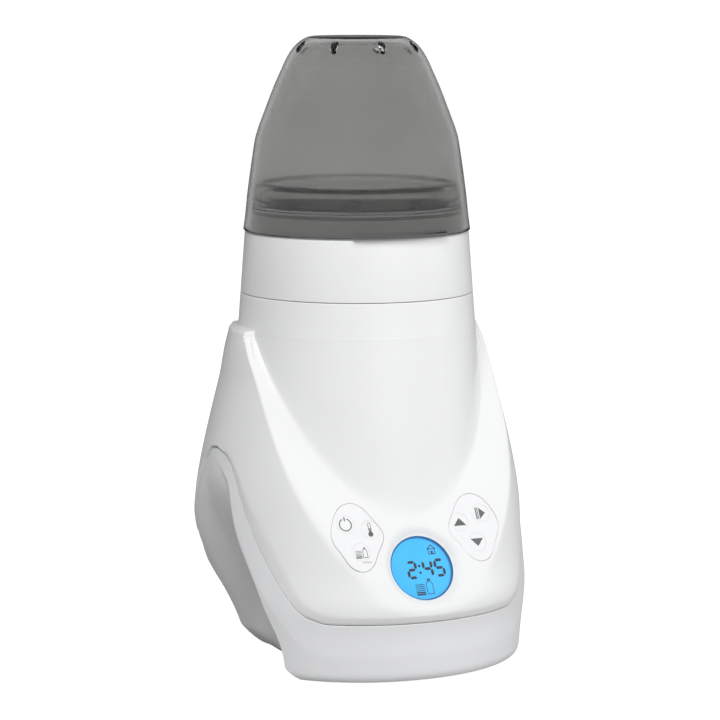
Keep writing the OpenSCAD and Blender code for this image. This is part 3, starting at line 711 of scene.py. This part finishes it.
def lifting_lip():
    """Thumb lip at the front of the hood's rim, with rounded ends."""
    outline = fillet([
        (49.6, HOOD_RIM + 0.02), (52.6, HOOD_RIM + 0.02, 0.3), (53, HOOD_RIM + 0.5, 0.3),
        (53, HOOD_RIM + 1.6, 0.6), (52, HOOD_RIM + 2.5, 0.6), (49.6, HOOD_RIM + 2.8)], steps=3)
    rows = []
    for t in np.concatenate([[-26, -25.9, -25.6, -25.2, -24.6], np.linspace(-24, 24, 60),
                             [24.6, 25.2, 25.6, 25.9, 26]]):
        end = clamp01((26 - abs(t)) / 2)
        size = 0.35 + 0.65 * math.sqrt(1 - (1 - end) ** 2)
        rows.append(np.array([at(t, 49.6 + (r - 49.6) * size, z) for r, z in outline]))
    return loft(rows, cap="fan")


def vent_cutter():
    """Slots through the shoulder of the hood, as stadium prisms along the wall's slope."""
    cutter = Shape()
    half = np.radians(np.linspace(-90, 90, 13))
    outline = [(1.6 * math.sin(a), 1.3 + 1.6 * math.cos(a)) for a in half]
    outline += [(-x, -y) for x, y in outline]
    for k in range(8):
        verts, faces = prism(outline, -4, 12)
        turn = np.array(Matrix.Rotation(math.radians(k * 45), 3, "Z"))
        lean = turn @ np.array(Matrix.Rotation(math.radians(38), 3, "X"))
        cutter.add(verts @ lean.T + turn @ (0, -25.5, HOOD_TOP - 6), faces)
    return mesh_object("vent_cutter", cutter)


def hood():
    shell = mesh_object("hood_shell", Shape().add(*lathe(hood_profile(), 216, ring=False)))
    boolean(shell, mesh_object("hood_lip", Shape().add(*lifting_lip())), "UNION")
    boolean(shell, vent_cutter())
    piece(shell, "hood", M["smoke_hood"], "smoke_hood", "hood")


def adapter_ring():
    z = SPIGOT_Z + 2.7
    profile = fillet([
        (42.2, z - 18, 0.4), (43.6, z - 18, 0.4), (44.2, z - 17), (44.2, z), (47.1, z, 0.3),
        (47.1, z + 1.2, 0.3), (46.5, z + 2), (46.1, z + 8.6, 1.2), (45, z + 10.4, 1), (43, z + 11, 1),
        (41.4, z + 10, 0.8), (41, z + 8, 0.8), (42.2, z + 3)])
    ring = mesh_object("adapter_ring_body", Shape().add(*lathe(profile, 216)))
    cutter = Shape()
    for k in range(8):
        turn = np.array(Matrix.Rotation(math.radians(22.5 + k * 45), 3, "Z"))
        verts, faces = box_shape((40, -3, z - 14), (48, 3, z - 6))
        cutter.add(verts @ turn.T, faces)
    boolean(ring, mesh_object("ring_cutter", cutter))
    piece(ring, "adapter", M["smoke_ring"], "smoke_ring", "adapter_ring")


# ---- lens, display and keys ----
LENS_TOP, LENS_BACK, LCD_TOP = -2.5, -3.2, -4.1


def display():
    ring = fillet([(15.15, -2.34, 0.1), (15.1, -2.05, 0.12), (14.72, -2.3, 0.15), (14.72, -4.2),
                   (15.2, -4.2)], steps=3)
    bezel = Shape().add(*lathe(ring, 180), panel=True)
    piece(mesh_object("display_bezel", bezel), "base", M["white_shell"], "white_shell")
    liner = fillet([(14.7, LENS_TOP + 0.1), (14.7, LCD_TOP - 0.1), (13.95, LCD_TOP - 0.1),
                    (13.95, LENS_BACK - 0.02), (14.5, LENS_BACK - 0.02), (14.5, LENS_TOP + 0.1)])
    # The liner's dark blue is painted glow and shade on a white wall.
    piece(mesh_object("display_liner", Shape().add(*lathe(liner, 180), panel=True)), "base",
          M["liner_painted_glow_shade"], "lcd_blue")
    lens = fillet([(0, LENS_TOP), (14.45, LENS_TOP, 0.2), (14.45, LENS_BACK, 0.1), (0, LENS_BACK)],
                  closed=False)
    piece(mesh_object("window_lens", Shape().add(*lathe(lens, 144, ring=False), panel=True)),
          "base", M["lens_clear"], "lens_clear", "display_lens")
    glass = fillet([(0, LCD_TOP), (14.6, LCD_TOP), (14.6, LCD_TOP - 0.9), (0, LCD_TOP - 0.9)],
                   closed=False)
    piece(mesh_object("lcd_glass", Shape().add(*lathe(glass, 96, ring=False), panel=True)),
          "base", M["lcd_blue"], "lcd_blue", "lcd_panel")


def arc(cu, cv, r, a0, a1, n=24):
    return [(cu + r * math.cos(a), cv + r * math.sin(a)) for a in np.radians(np.linspace(a0, a1, n))]


def stroke(points, width, closed=False):
    """Both sides of a pen line: an outline, or an inner and an outer loop where it is closed."""
    p = np.array(points, float)
    if closed:
        ahead, back = np.roll(p, -1, 0) - p, p - np.roll(p, 1, 0)
    else:
        ahead = np.vstack([p[1:] - p[:-1], p[-1:] - p[-2:-1]])
        back = np.vstack([p[1:2] - p[:1], p[1:] - p[:-1]])
    ahead /= np.linalg.norm(ahead, axis=1)[:, None]
    back /= np.linalg.norm(back, axis=1)[:, None]
    side = np.stack([-(ahead + back)[:, 1], (ahead + back)[:, 0]], axis=-1)
    side /= np.linalg.norm(side, axis=1)[:, None]
    reach = width / 2 / np.maximum(0.5, side[:, 0] * -ahead[:, 1] + side[:, 1] * ahead[:, 0])
    return p + side * reach[:, None], p - side * reach[:, None]


class Ink:
    """Printed marks on the panel: thin solids between two heights of the panel's frame."""

    def __init__(self, low, high):
        self.shape, self.low, self.high = Shape(), low, high

    def solid(self, outline):
        self.shape.add(*prism(outline, self.low, self.high), panel=True)

    def line(self, points, width):
        a, b = stroke(points, width)
        self.solid(list(map(tuple, a)) + list(map(tuple, b[::-1])))

    def loop(self, points, width):
        a, b = stroke(points, width, closed=True)
        rows = [np.column_stack([q, np.full(len(q), w)])
                for q, w in ((a, self.low), (a, self.high), (b, self.high), (b, self.low))]
        self.shape.add(*loft(rows, ring=True), panel=True)


def bottle_mark(ink, u, v, size, lines):
    """A small feeding bottle beside a stack of level lines."""
    s = size
    body = [(0, 0), (1.9, 0), (1.9, 2.9), (1.45, 3.6), (0.45, 3.6), (0, 2.9)]
    ink.loop([(u + x * s, v + y * s) for x, y in body], 0.28)
    ink.solid([(u + x * s, v + y * s) for x, y in ((0.5, 3.85), (1.4, 3.85), (1.4, 4.4), (0.5, 4.4))])
    for i in range(lines):
        y = v + i * 2.9 * s / (lines - 1)
        width = 0.42 * s if i < 2 else 0.24 * s
        ink.line([(u - 3.3 * s, y), (u - 0.6 * s, y)], width)


def power_mark(ink, u, v):
    ink.line(arc(u, v, 2.75, 112, 428, 48), 0.5)
    ink.line([(u, v + 1.6), (u, v + 3.5)], 0.55)


def temperature_mark(ink, u, v):
    ink.loop(arc(u, v + 2.6, 0.55, 0, 180, 9) + [(u - 0.55, v - 1.2)] + [(u + 0.55, v - 1.2)], 0.26)
    ink.solid(arc(u, v - 2.0, 1.15, 0, 345, 24))
    ink.solid([(u - 0.32, v - 1.2), (u + 0.32, v - 1.2), (u + 0.32, v + 0.7), (u - 0.32, v + 0.7)])


def bottle_key_mark(ink, u, v):
    bottle_mark(ink, u + 0.9, v - 2.4, 1.05, 6)


def up_mark(ink, u, v):
    ink.solid([(u - 3.0, v - 1.7), (u + 3.0, v - 1.7), (u, v + 1.9)])


def down_mark(ink, u, v):
    ink.solid([(u - 3.0, v + 1.7), (u, v - 1.9), (u + 3.0, v + 1.7)])


def start_mark(ink, u, v):
    ink.solid([(u - 2.2, v - 2.7), (u - 1.6, v - 2.7), (u - 1.6, v + 2.7), (u - 2.2, v + 2.7)])
    ink.solid([(u - 1.3, v - 2.7), (u - 0.95, v - 2.7), (u - 0.95, v + 2.7), (u - 1.3, v + 2.7)])
    ink.solid([(u - 0.5, v - 2.6), (u + 2.4, v), (u - 0.5, v + 2.6)])


KEY_TABLE = [
    ("power_key", -1, 1, power_mark), ("temperature_key", -1, 0, temperature_mark),
    ("bottle_key", -1, 2, bottle_key_mark), ("up_key", 1, 0, up_mark),
    ("start_key", 1, 1, start_mark), ("down_key", 1, 2, down_mark),
]


def keys():
    profile = fillet([(0, 0), (KEY_R, 0, 0.08), (KEY_R, -4.3), (KEY_R + 0.7, -4.3, 0.15),
                      (KEY_R + 0.7, -5.1, 0.15), (0, -5.1)], closed=False, steps=3)
    for node, side, spot, mark in KEY_TABLE:
        u, v = side * KEYS[spot][0], KEYS[spot][1]
        cap = Shape().add(*lathe(profile, 96, ring=False, centre=(u, v)), panel=True)
        body = node + "_body"
        piece(mesh_object(node + "_cap", cap), body, M["key_white"], "key_white", node)
        ink = Ink(-0.02, 0.03)
        mark(ink, u, v)
        piece(mesh_object(node + "_mark", ink.shape), body, M["ink_grey"], "black_plastic")


def keypads():
    for name, side in (("left_keypad", -1), ("right_keypad", 1)):
        levels = [(0, -2.8), (0, -0.3), (-0.04, -0.12), (-0.14, -0.03), (-0.3, 0.0)]
        rows = [np.array([(*p, w) for p in pad_outline(side, grow)]) for grow, w in levels]
        pad = Shape().add(*loft(rows, cap="fan"), panel=True)
        flange = [np.array([(*p, w) for p in pad_outline(side, 1.5)]) for w in (-3.8, -2.9)]
        holes = Shape()
        for u, v in KEYS:
            hole = [(side * u + (KEY_R + 0.05) * math.cos(a), v + (KEY_R + 0.05) * math.sin(a))
                    for a in np.radians(circle(96))]
            holes.add(*prism(hole, -6, 2), panel=True)
        obj = mesh_object(name + "_pad", pad)
        boolean(obj, mesh_object("pad_flange", Shape().add(*loft(flange, cap="fan"), panel=True)),
                "UNION")
        boolean(obj, mesh_object("pad_cutter", holes))
        piece(obj, "base", M["key_white"], "key_white", name)
    dashes = Ink(-0.02, 0.03)
    for i in range(4):
        u = -28.0 + i * 1.1
        dashes.solid([(u, 3.9), (u + 0.7, 3.9), (u + 0.7, 4.2), (u, 4.2)])
    piece(mesh_object("level_dashes", dashes.shape), "base", M["ink_grey"], "black_plastic")


SEGMENTS = {"2": "abdeg", "4": "bcfg", "5": "acdfg"}


def digit(ink, char, u, v, width, height, pen):
    """One seven-segment digit with its lower left corner at (u, v)."""
    gap = pen * 0.16
    middle = v + height / 2
    across = {"a": v + height, "g": middle, "d": v}
    upright = {"f": (u, middle), "b": (u + width, middle), "e": (u, v), "c": (u + width, v)}
    h = pen / 2
    for name in SEGMENTS[char]:
        if name in across:
            y = across[name]
            ink.solid([(u + gap, y), (u + gap + h, y - h), (u + width - gap - h, y - h),
                       (u + width - gap, y), (u + width - gap - h, y + h), (u + gap + h, y + h)])
        else:
            x, y = upright[name]
            top = y + height / 2
            ink.solid([(x, y + gap), (x + h, y + gap + h), (x + h, top - gap - h), (x, top - gap),
                       (x - h, top - gap - h), (x - h, y + gap + h)])


def lcd_marks():
    """Shown on the display: a time, a small house and a bottle with its level."""
    ink = Ink(LCD_TOP - 0.02, LCD_TOP + 0.03)
    low, tall, wide, pen = -3.6, 7.0, 3.7, 1.25
    for char, u in (("2", -5.9), ("4", 1.5), ("5", 7.1)):
        digit(ink, char, u, low, wide, tall, pen)
    for v in (-1.6, 1.4):
        ink.solid(arc(-0.4, v, 0.6, 0, 345, 16))
    ink.line([(4.9, 8.5), (6.9, 10.4), (8.9, 8.5)], 0.4)
    ink.loop([(5.4, 6.3), (8.4, 6.3), (8.4, 8.7), (5.4, 8.7)], 0.34)
    ink.solid([(6.4, 6.3), (7.4, 6.3), (7.4, 7.8), (6.4, 7.8)])
    bottle_mark(ink, 1.0, -11.4, 1.55, 6)
    piece(mesh_object("lcd_marks", ink.shape), "base", M["lcd_ink"], "black_plastic")


# ---- warming chamber ----
CHAMBER_Z, BASKET_Z, BASKET_R, BASKET_TOP = 66.0, 77.0, 43.5, 176.0


def chamber_parts():
    z = CHAMBER_Z
    tub = fillet([
        (0, z), (43.5, z, 3), (46.3, z + 2.8, 3), (46.3, SPIGOT_Z + 1.3, 0.3),
        (47.2, SPIGOT_Z + 1.3, 0.2), (47.2, SPIGOT_Z + 2.4, 0.4), (45, SPIGOT_Z + 2.4, 0.4),
        (44.9, z + 3.4, 3), (42.9, z + 1.4, 3), (0, z + 1.4)], closed=False)
    tub_shape = Shape().add(*lathe(tub, 192, ring=False))
    piece(mesh_object("chamber_tub", tub_shape), "base", M["stainless"], "stainless", "chamber")
    seal = fillet([(46.6, SPIGOT_Z + 0.1, 0.2), (47.2, SPIGOT_Z + 0.1, 0.2),
                   (47.2, SPIGOT_Z + 1.2, 0.2), (46.6, SPIGOT_Z + 1.2, 0.2)])
    piece(mesh_object("chamber_seal", Shape().add(*lathe(seal, 144))), "base",
          M["silicone"], "silicone", "chamber_gasket")


def basket():
    z, r, top = BASKET_Z, BASKET_R, BASKET_TOP
    wall = fillet([(0, z), (r - 1.5, z, 1.2), (r, z + 1.5, 1.2), (r, top, 0.6), (r - 1.4, top, 0.6),
                   (r - 1.4, z + 2.6, 1), (0, z + 2.6)], closed=False)
    body = mesh_object("basket_body", Shape().add(*lathe(wall, 144, ring=False)))
    cutter = Shape()
    for k in range(12):
        turn = np.array(Matrix.Rotation(math.radians(k * 30), 3, "Z"))
        for j in range(3):
            low, high = BASKET_Z + 9 + j * 29, BASKET_Z + 31 + j * 29
            slot = fillet([(-3, low, 2.5), (3, low, 2.5), (3, high, 2.5), (-3, high, 2.5)])
            rows = [np.array([(x, *q) for q in slot]) for x in (38, 46)]
            verts, faces = loft(rows, cap="fan")
            cutter.add(verts @ turn.T, faces)
    holes = [(24 * math.cos(a), 24 * math.sin(a), 5) for a in np.radians(circle(8))]
    holes.append((0, 0, 6))
    for x, y, r in holes:
        rim = [(x + r * math.cos(a), y + r * math.sin(a)) for a in np.radians(circle(40))]
        cutter.add(*prism(rim, 70, 82))
    boolean(body, mesh_object("basket_cutter", cutter))
    piece(body, "basket", M["white_insert"], "white_insert", "basket")


# ---- water tank ----
TANK_TOP = SHOULDER_Z - 6.2


def fold(t):
    return np.where(t > 180, t - 360, t)


def tank_loop(z, inset, turn, n=72):
    half = TANK_HALF - turn
    t = np.linspace(180 - half, 180 + half, n)
    back = at(t, outer_r(fold(t), z) - inset, np.full(n, z))
    front = at(t[::-1], tower_at(z) + 1.5 + inset, np.full(n, z))
    return np.concatenate([back, front])


def water_tank():
    outside = [TANK_Z, TANK_Z + 0.3, TANK_Z + 0.9, TANK_Z + 1.8]
    outside += list(np.linspace(TANK_Z + 3, TANK_TOP - 0.3, 34)) + [TANK_TOP]
    insets = [0.9, 0.35, 0.1, 0] + [0] * 34 + [0.25]
    rows = [tank_loop(z, i, i * 0.6) for z, i in zip(outside, insets)]
    inside = np.linspace(TANK_TOP, TANK_Z + TANK_WALL + 1.2, 30)
    rows += [tank_loop(z, TANK_WALL, 1.7) for z in inside]
    rows += [tank_loop(TANK_Z + TANK_WALL + 0.3, TANK_WALL + 0.3, 2.0),
             tank_loop(TANK_Z + TANK_WALL, TANK_WALL + 1.2, 2.8)]
    tank = mesh_object("tank_body", Shape().add(*loft(rows, cap="strip")))
    extra = [
        lathe(fillet([(0, 46.6), (4.4, 46.6, 0.3), (4.4, 52.5), (0, 52.5)], closed=False), 64,
              ring=False, centre=(0, VALVE_Y)),
        lathe(fillet([(0, 68), (6, 68, 0.4), (6, 69.5, 0.4), (0, 69.5)], closed=False), 64,
              ring=False, centre=(0, VALVE_Y)),
        box_shape((-8.2, 71.3, LID_Z - 3.9), (8.2, 76.4, LID_Z - 0.3)),
        lying_cylinder(-8.6, 8.6, HINGE_R),
    ]
    for k in range(3):
        turn = np.array(Matrix.Rotation(math.radians(k * 120 + 30), 3, "Z"))
        verts, faces = box_shape((5, -0.8, 53), (5.9, 0.8, 68.5))
        extra.append((verts @ turn.T + (0, VALVE_Y, 0), faces))
    for verts, faces in extra:
        boolean(tank, mesh_object("tank_part", Shape().add(verts, faces)), "UNION")
    holes = [
        lathe([(0, 40), (1.46, 40), (1.46, 56), (0, 56)], 48, ring=False, centre=(0, VALVE_Y)),
        lathe([(0, 49), (3, 49), (3, 54.5), (0, 54.5)], 48, ring=False, centre=(0, VALVE_Y)),
        lying_cylinder(-9, 9, PIN_R + 0.03),
    ]
    for verts, faces in holes:
        boolean(tank, mesh_object("tank_hole", Shape().add(verts, faces)))
    piece(tank, "tank", M["smoke_tank"], "smoke_tank", "water_tank")


def lying_cylinder(x0, x1, r, n=64, chamfer=0.25):
    """A cylinder along x about the lid's hinge line."""
    a = np.radians(circle(n))
    rows = []
    for x, k in ((x0, r - chamfer), (x0 + chamfer, r), (x1 - chamfer, r), (x1, r - chamfer)):
        rows.append(np.stack([np.full(n, x), HINGE_Y + k * np.cos(a), HINGE_Z + k * np.sin(a)], -1))
    return loft(rows, cap="fan")


def tank_lid():
    t = np.linspace(180 - TANK_HALF, 180 + TANK_HALF, 72)
    rows = []
    edge = 0.35
    for inset, dz in ((edge, 0), (0, edge), (0, LID_THICK - edge), (edge, LID_THICK)):
        z = LID_Z + dz
        back = at(t, outer_r(fold(t), LID_Z) - inset, np.full(72, z))
        front = at(t[::-1], tower_at(LID_Z) + 1.5 + inset, np.full(72, z))
        rows.append(np.concatenate([back, front]))
    lid = mesh_object("lid_plate", Shape().add(*loft(rows, cap="strip")))
    for side in (-1, 1):
        x0, x1 = side * 11.9 - 2.7, side * 11.9 + 2.7
        arm = box_shape((x0 + 0.2, 68, LID_Z + 0.1), (x1 - 0.2, HINGE_Y, LID_Z + LID_THICK - 0.1))
        boolean(lid, mesh_object("arm", Shape().add(*arm)), "UNION")
        boolean(lid, mesh_object("knuckle", Shape().add(*lying_cylinder(x0, x1, HINGE_R))), "UNION")
    bore = lying_cylinder(-20, 20, PIN_R + 0.05, chamfer=0)
    boolean(lid, mesh_object("pin_bore", Shape().add(*bore)))
    piece(lid, "lid", M["smoke_tank"], "smoke_tank", "tank_lid")


def valve_spring():
    """A real coil in place of the plain sleeve."""
    turns, wire, mean, low, high = 6.5, 0.35, 2.8, 59.25, 67.6
    steps = int(turns * 28)
    rows = []
    for k in range(steps + 1):
        a = 2 * math.pi * turns * k / steps
        rise = smooth((k / steps - 0.06) / 0.88)
        z = mix(low, high, float(mix(k / steps, rise, 0.35)))
        out = np.array([math.cos(a), math.sin(a), 0])
        ring = [np.array([0, VALVE_Y, z]) + out * (mean + wire * math.cos(b))
                + np.array([0, 0, wire * math.sin(b)]) for b in np.radians(circle(10))]
        rows.append(np.array(ring))
    coil = mesh_object("valve_coil", Shape().add(*loft(rows, cap="fan")))
    piece(coil, "tank", M["stainless"], "stainless", "valve_spring")


# ---- underside and rear ----
def feet():
    shape = Shape()
    sole = fillet([(0, 0), (5.6, 0, 0.4), (6.3, 0.8, 0.4), (6.5, 2.19, 0.2), (0, 2.19)], closed=False)
    for x, y in ((-24, -58), (24, -58), (-20, 38), (20, 38)):
        shape.add(*lathe(sole, 64, ring=False, centre=(x, y)))
    piece(mesh_object("rubber_feet", shape), "base", M["black_rubber"], "black_rubber", "feet")


def cord_bushing():
    """Ribbed rubber bushing in the cord inlet."""
    r, bore = INLET_R, 2.4
    profile = [(bore, 48), (r + 2, 48, 0.5), (r + 2, 50.2, 0.5), (r, 50.2, 0.2)]
    for y in (53.5, 56.5, 59.5):
        profile += [(r, y, 0.2), (r - 0.5, y + 0.4, 0.2), (r - 0.5, y + 1.2, 0.2), (r, y + 1.6, 0.2)]
    profile += [(r, 65.5, 0.8), (bore, 65.5, 0.6)]
    verts, faces = lathe(fillet(profile, steps=2), 72)
    verts = np.stack([verts[:, 0] + INLET_X, verts[:, 2], verts[:, 1] + INLET_Z], axis=-1)
    obj = mesh_object("inlet_bushing", Shape().add(verts, faces))
    piece(obj, "base", M["black_rubber"], "black_rubber", "cord_bushing")


# CAD nodes that keep their shape, with the finish of each.
KEPT = {
    "heat_shield": "stainless", "heater_plate": "aluminium_plate",
    "heating_element": "element_sheath", "heater_screws": "zinc_screw",
    "thermostat": "ceramic_body", "thermal_fuse": "ceramic_body", "backlight": "backlight_white",
    "display_holder": "black_plastic", "control_board": "circuit_board",
    "key_switches": "black_plastic", "controller_chip": "black_plastic",
    "board_screws": "zinc_screw", "ribbon_cable": "ribbon", "power_board": "circuit_board",
    "power_parts": "black_plastic", "buzzer": "black_plastic", "lid_pin": "stainless",
    "valve_stem": "white_insert", "valve_seal": "silicone", "tank_dock": "white_insert",
    "dock_seal": "silicone", "feed_tube": "silicone", "bottom_cover": "grey_cover",
    "base_screws": "zinc_screw",
}


def kept_nodes():
    for node, finish in KEPT.items():
        obj = frame["nodes"][node]
        obj.data.materials.clear()
        obj.data.materials.append(M[finish])


# ---- stage, light and camera ----
def seen_directly(tree):
    """1 where a surface is seen by the camera, straight or through clear plastic."""
    ray = tree.nodes.new("ShaderNodeLightPath")
    seen = tree.nodes.new("ShaderNodeMath")
    seen.operation = "MAXIMUM"
    tree.links.new(ray.outputs["Is Camera Ray"], seen.inputs[0])
    tree.links.new(ray.outputs["Is Transmission Ray"], seen.inputs[1])
    return seen.outputs["Value"]


def floor():
    """A pale disc that glows where it is seen, so that it reads as plain white."""
    n = Nodes("pale_floor").set(Base_Color=(0.5, 0.5, 0.5, 1), Roughness=0.8)
    n.set(Emission_Color=(1, 1, 1, 1))
    n.link(seen_directly(n.tree), n.shader.inputs["Emission Strength"])
    disc = lathe([(0, 0), (2000, 0), (60000, 0)], 64, ring=False)
    disc = mesh_object("studio_floor", Shape().add(*disc))
    disc.data.materials.append(n.material)


def world():
    """White room: bright where it is seen, a soft grey in mirrors, and hardly any fill light."""
    w = bpy.data.worlds.new("studio_world")
    w.use_nodes = True
    tree = w.node_tree
    back = tree.nodes["Background"]
    back.inputs["Color"].default_value = (1, 1, 1, 1)
    ray = tree.nodes.new("ShaderNodeLightPath")
    mirrored = tree.nodes.new("ShaderNodeMapRange")
    mirrored.inputs["To Min"].default_value = 0.03
    mirrored.inputs["To Max"].default_value = 0.16
    tree.links.new(ray.outputs["Is Glossy Ray"], mirrored.inputs["Value"])
    level = tree.nodes.new("ShaderNodeMapRange")
    level.inputs["To Max"].default_value = 1.0
    tree.links.new(mirrored.outputs["Result"], level.inputs["To Min"])
    tree.links.new(seen_directly(tree), level.inputs["Value"])
    tree.links.new(level.outputs["Result"], back.inputs["Strength"])
    bpy.context.scene.world = w


CAMERA_DISTANCE, CAMERA_HEIGHT = 1.2544, 0.3069
CAMERA_AZIMUTH, CAMERA_PITCH, CAMERA_YAW = -24.0, 7.97, 0.0675
LIGHT_DISTANCE, LIGHT_SIZE, LIGHT_AIM_Z = 2.2, 1.2, 0.12
# Soft boxes round the part: degrees to the right of the camera, degrees up, watts.
LIGHTS = {
    "key_light": (0, 45, 30.0),
    "front_right": (30, 12, 11.5),
    "right_side": (90, 12, 15.5),
    "front_left": (-30, 45, 9.5),
    "rear_left": (-125, 12, 11.5),
    "rear_right": (125, 12, 7.0),
}


def lights():
    """Square soft boxes that all face the middle of the part."""
    aim = Vector((0, 0, LIGHT_AIM_Z))
    for name, (turn, rise, power) in LIGHTS.items():
        data = bpy.data.lights.new(name, "AREA")
        data.shape = "SQUARE"
        data.size = LIGHT_SIZE
        data.energy = power
        lamp = bpy.data.objects.new(name, data)
        bpy.context.scene.collection.objects.link(lamp)
        a, e = math.radians(CAMERA_AZIMUTH + turn), math.radians(rise)
        out = Vector((math.cos(e) * math.sin(a), -math.cos(e) * math.cos(a), math.sin(e)))
        lamp.location = aim + out * LIGHT_DISTANCE
        lamp.rotation_euler = (-out).to_track_quat("-Z", "Y").to_euler()
        lamp.visible_glossy = lamp.visible_transmission = False


def camera():
    data = bpy.data.cameras.new("photo_camera")
    data.lens, data.sensor_width = 140, 36
    data.clip_start, data.clip_end = 0.05, 200
    obj = bpy.data.objects.new("photo_camera", data)
    bpy.context.scene.collection.objects.link(obj)
    turn = math.radians(CAMERA_AZIMUTH)
    obj.location = (
        CAMERA_DISTANCE * math.sin(turn), -CAMERA_DISTANCE * math.cos(turn), CAMERA_HEIGHT)
    obj.rotation_euler = (math.radians(90 - CAMERA_PITCH), 0, turn - math.radians(CAMERA_YAW))
    bpy.context.scene.camera = obj


def main():
    main_housing()
    lower_base()
    upper_collar()
    hood()
    adapter_ring()
    display()
    keys()
    keypads()
    lcd_marks()
    chamber_parts()
    basket()
    water_tank()
    tank_lid()
    valve_spring()
    feet()
    cord_bushing()
    kept_nodes()
    floor()
    world()
    lights()
    camera()
    bpy.context.scene.view_settings.view_transform = "Standard"


main()
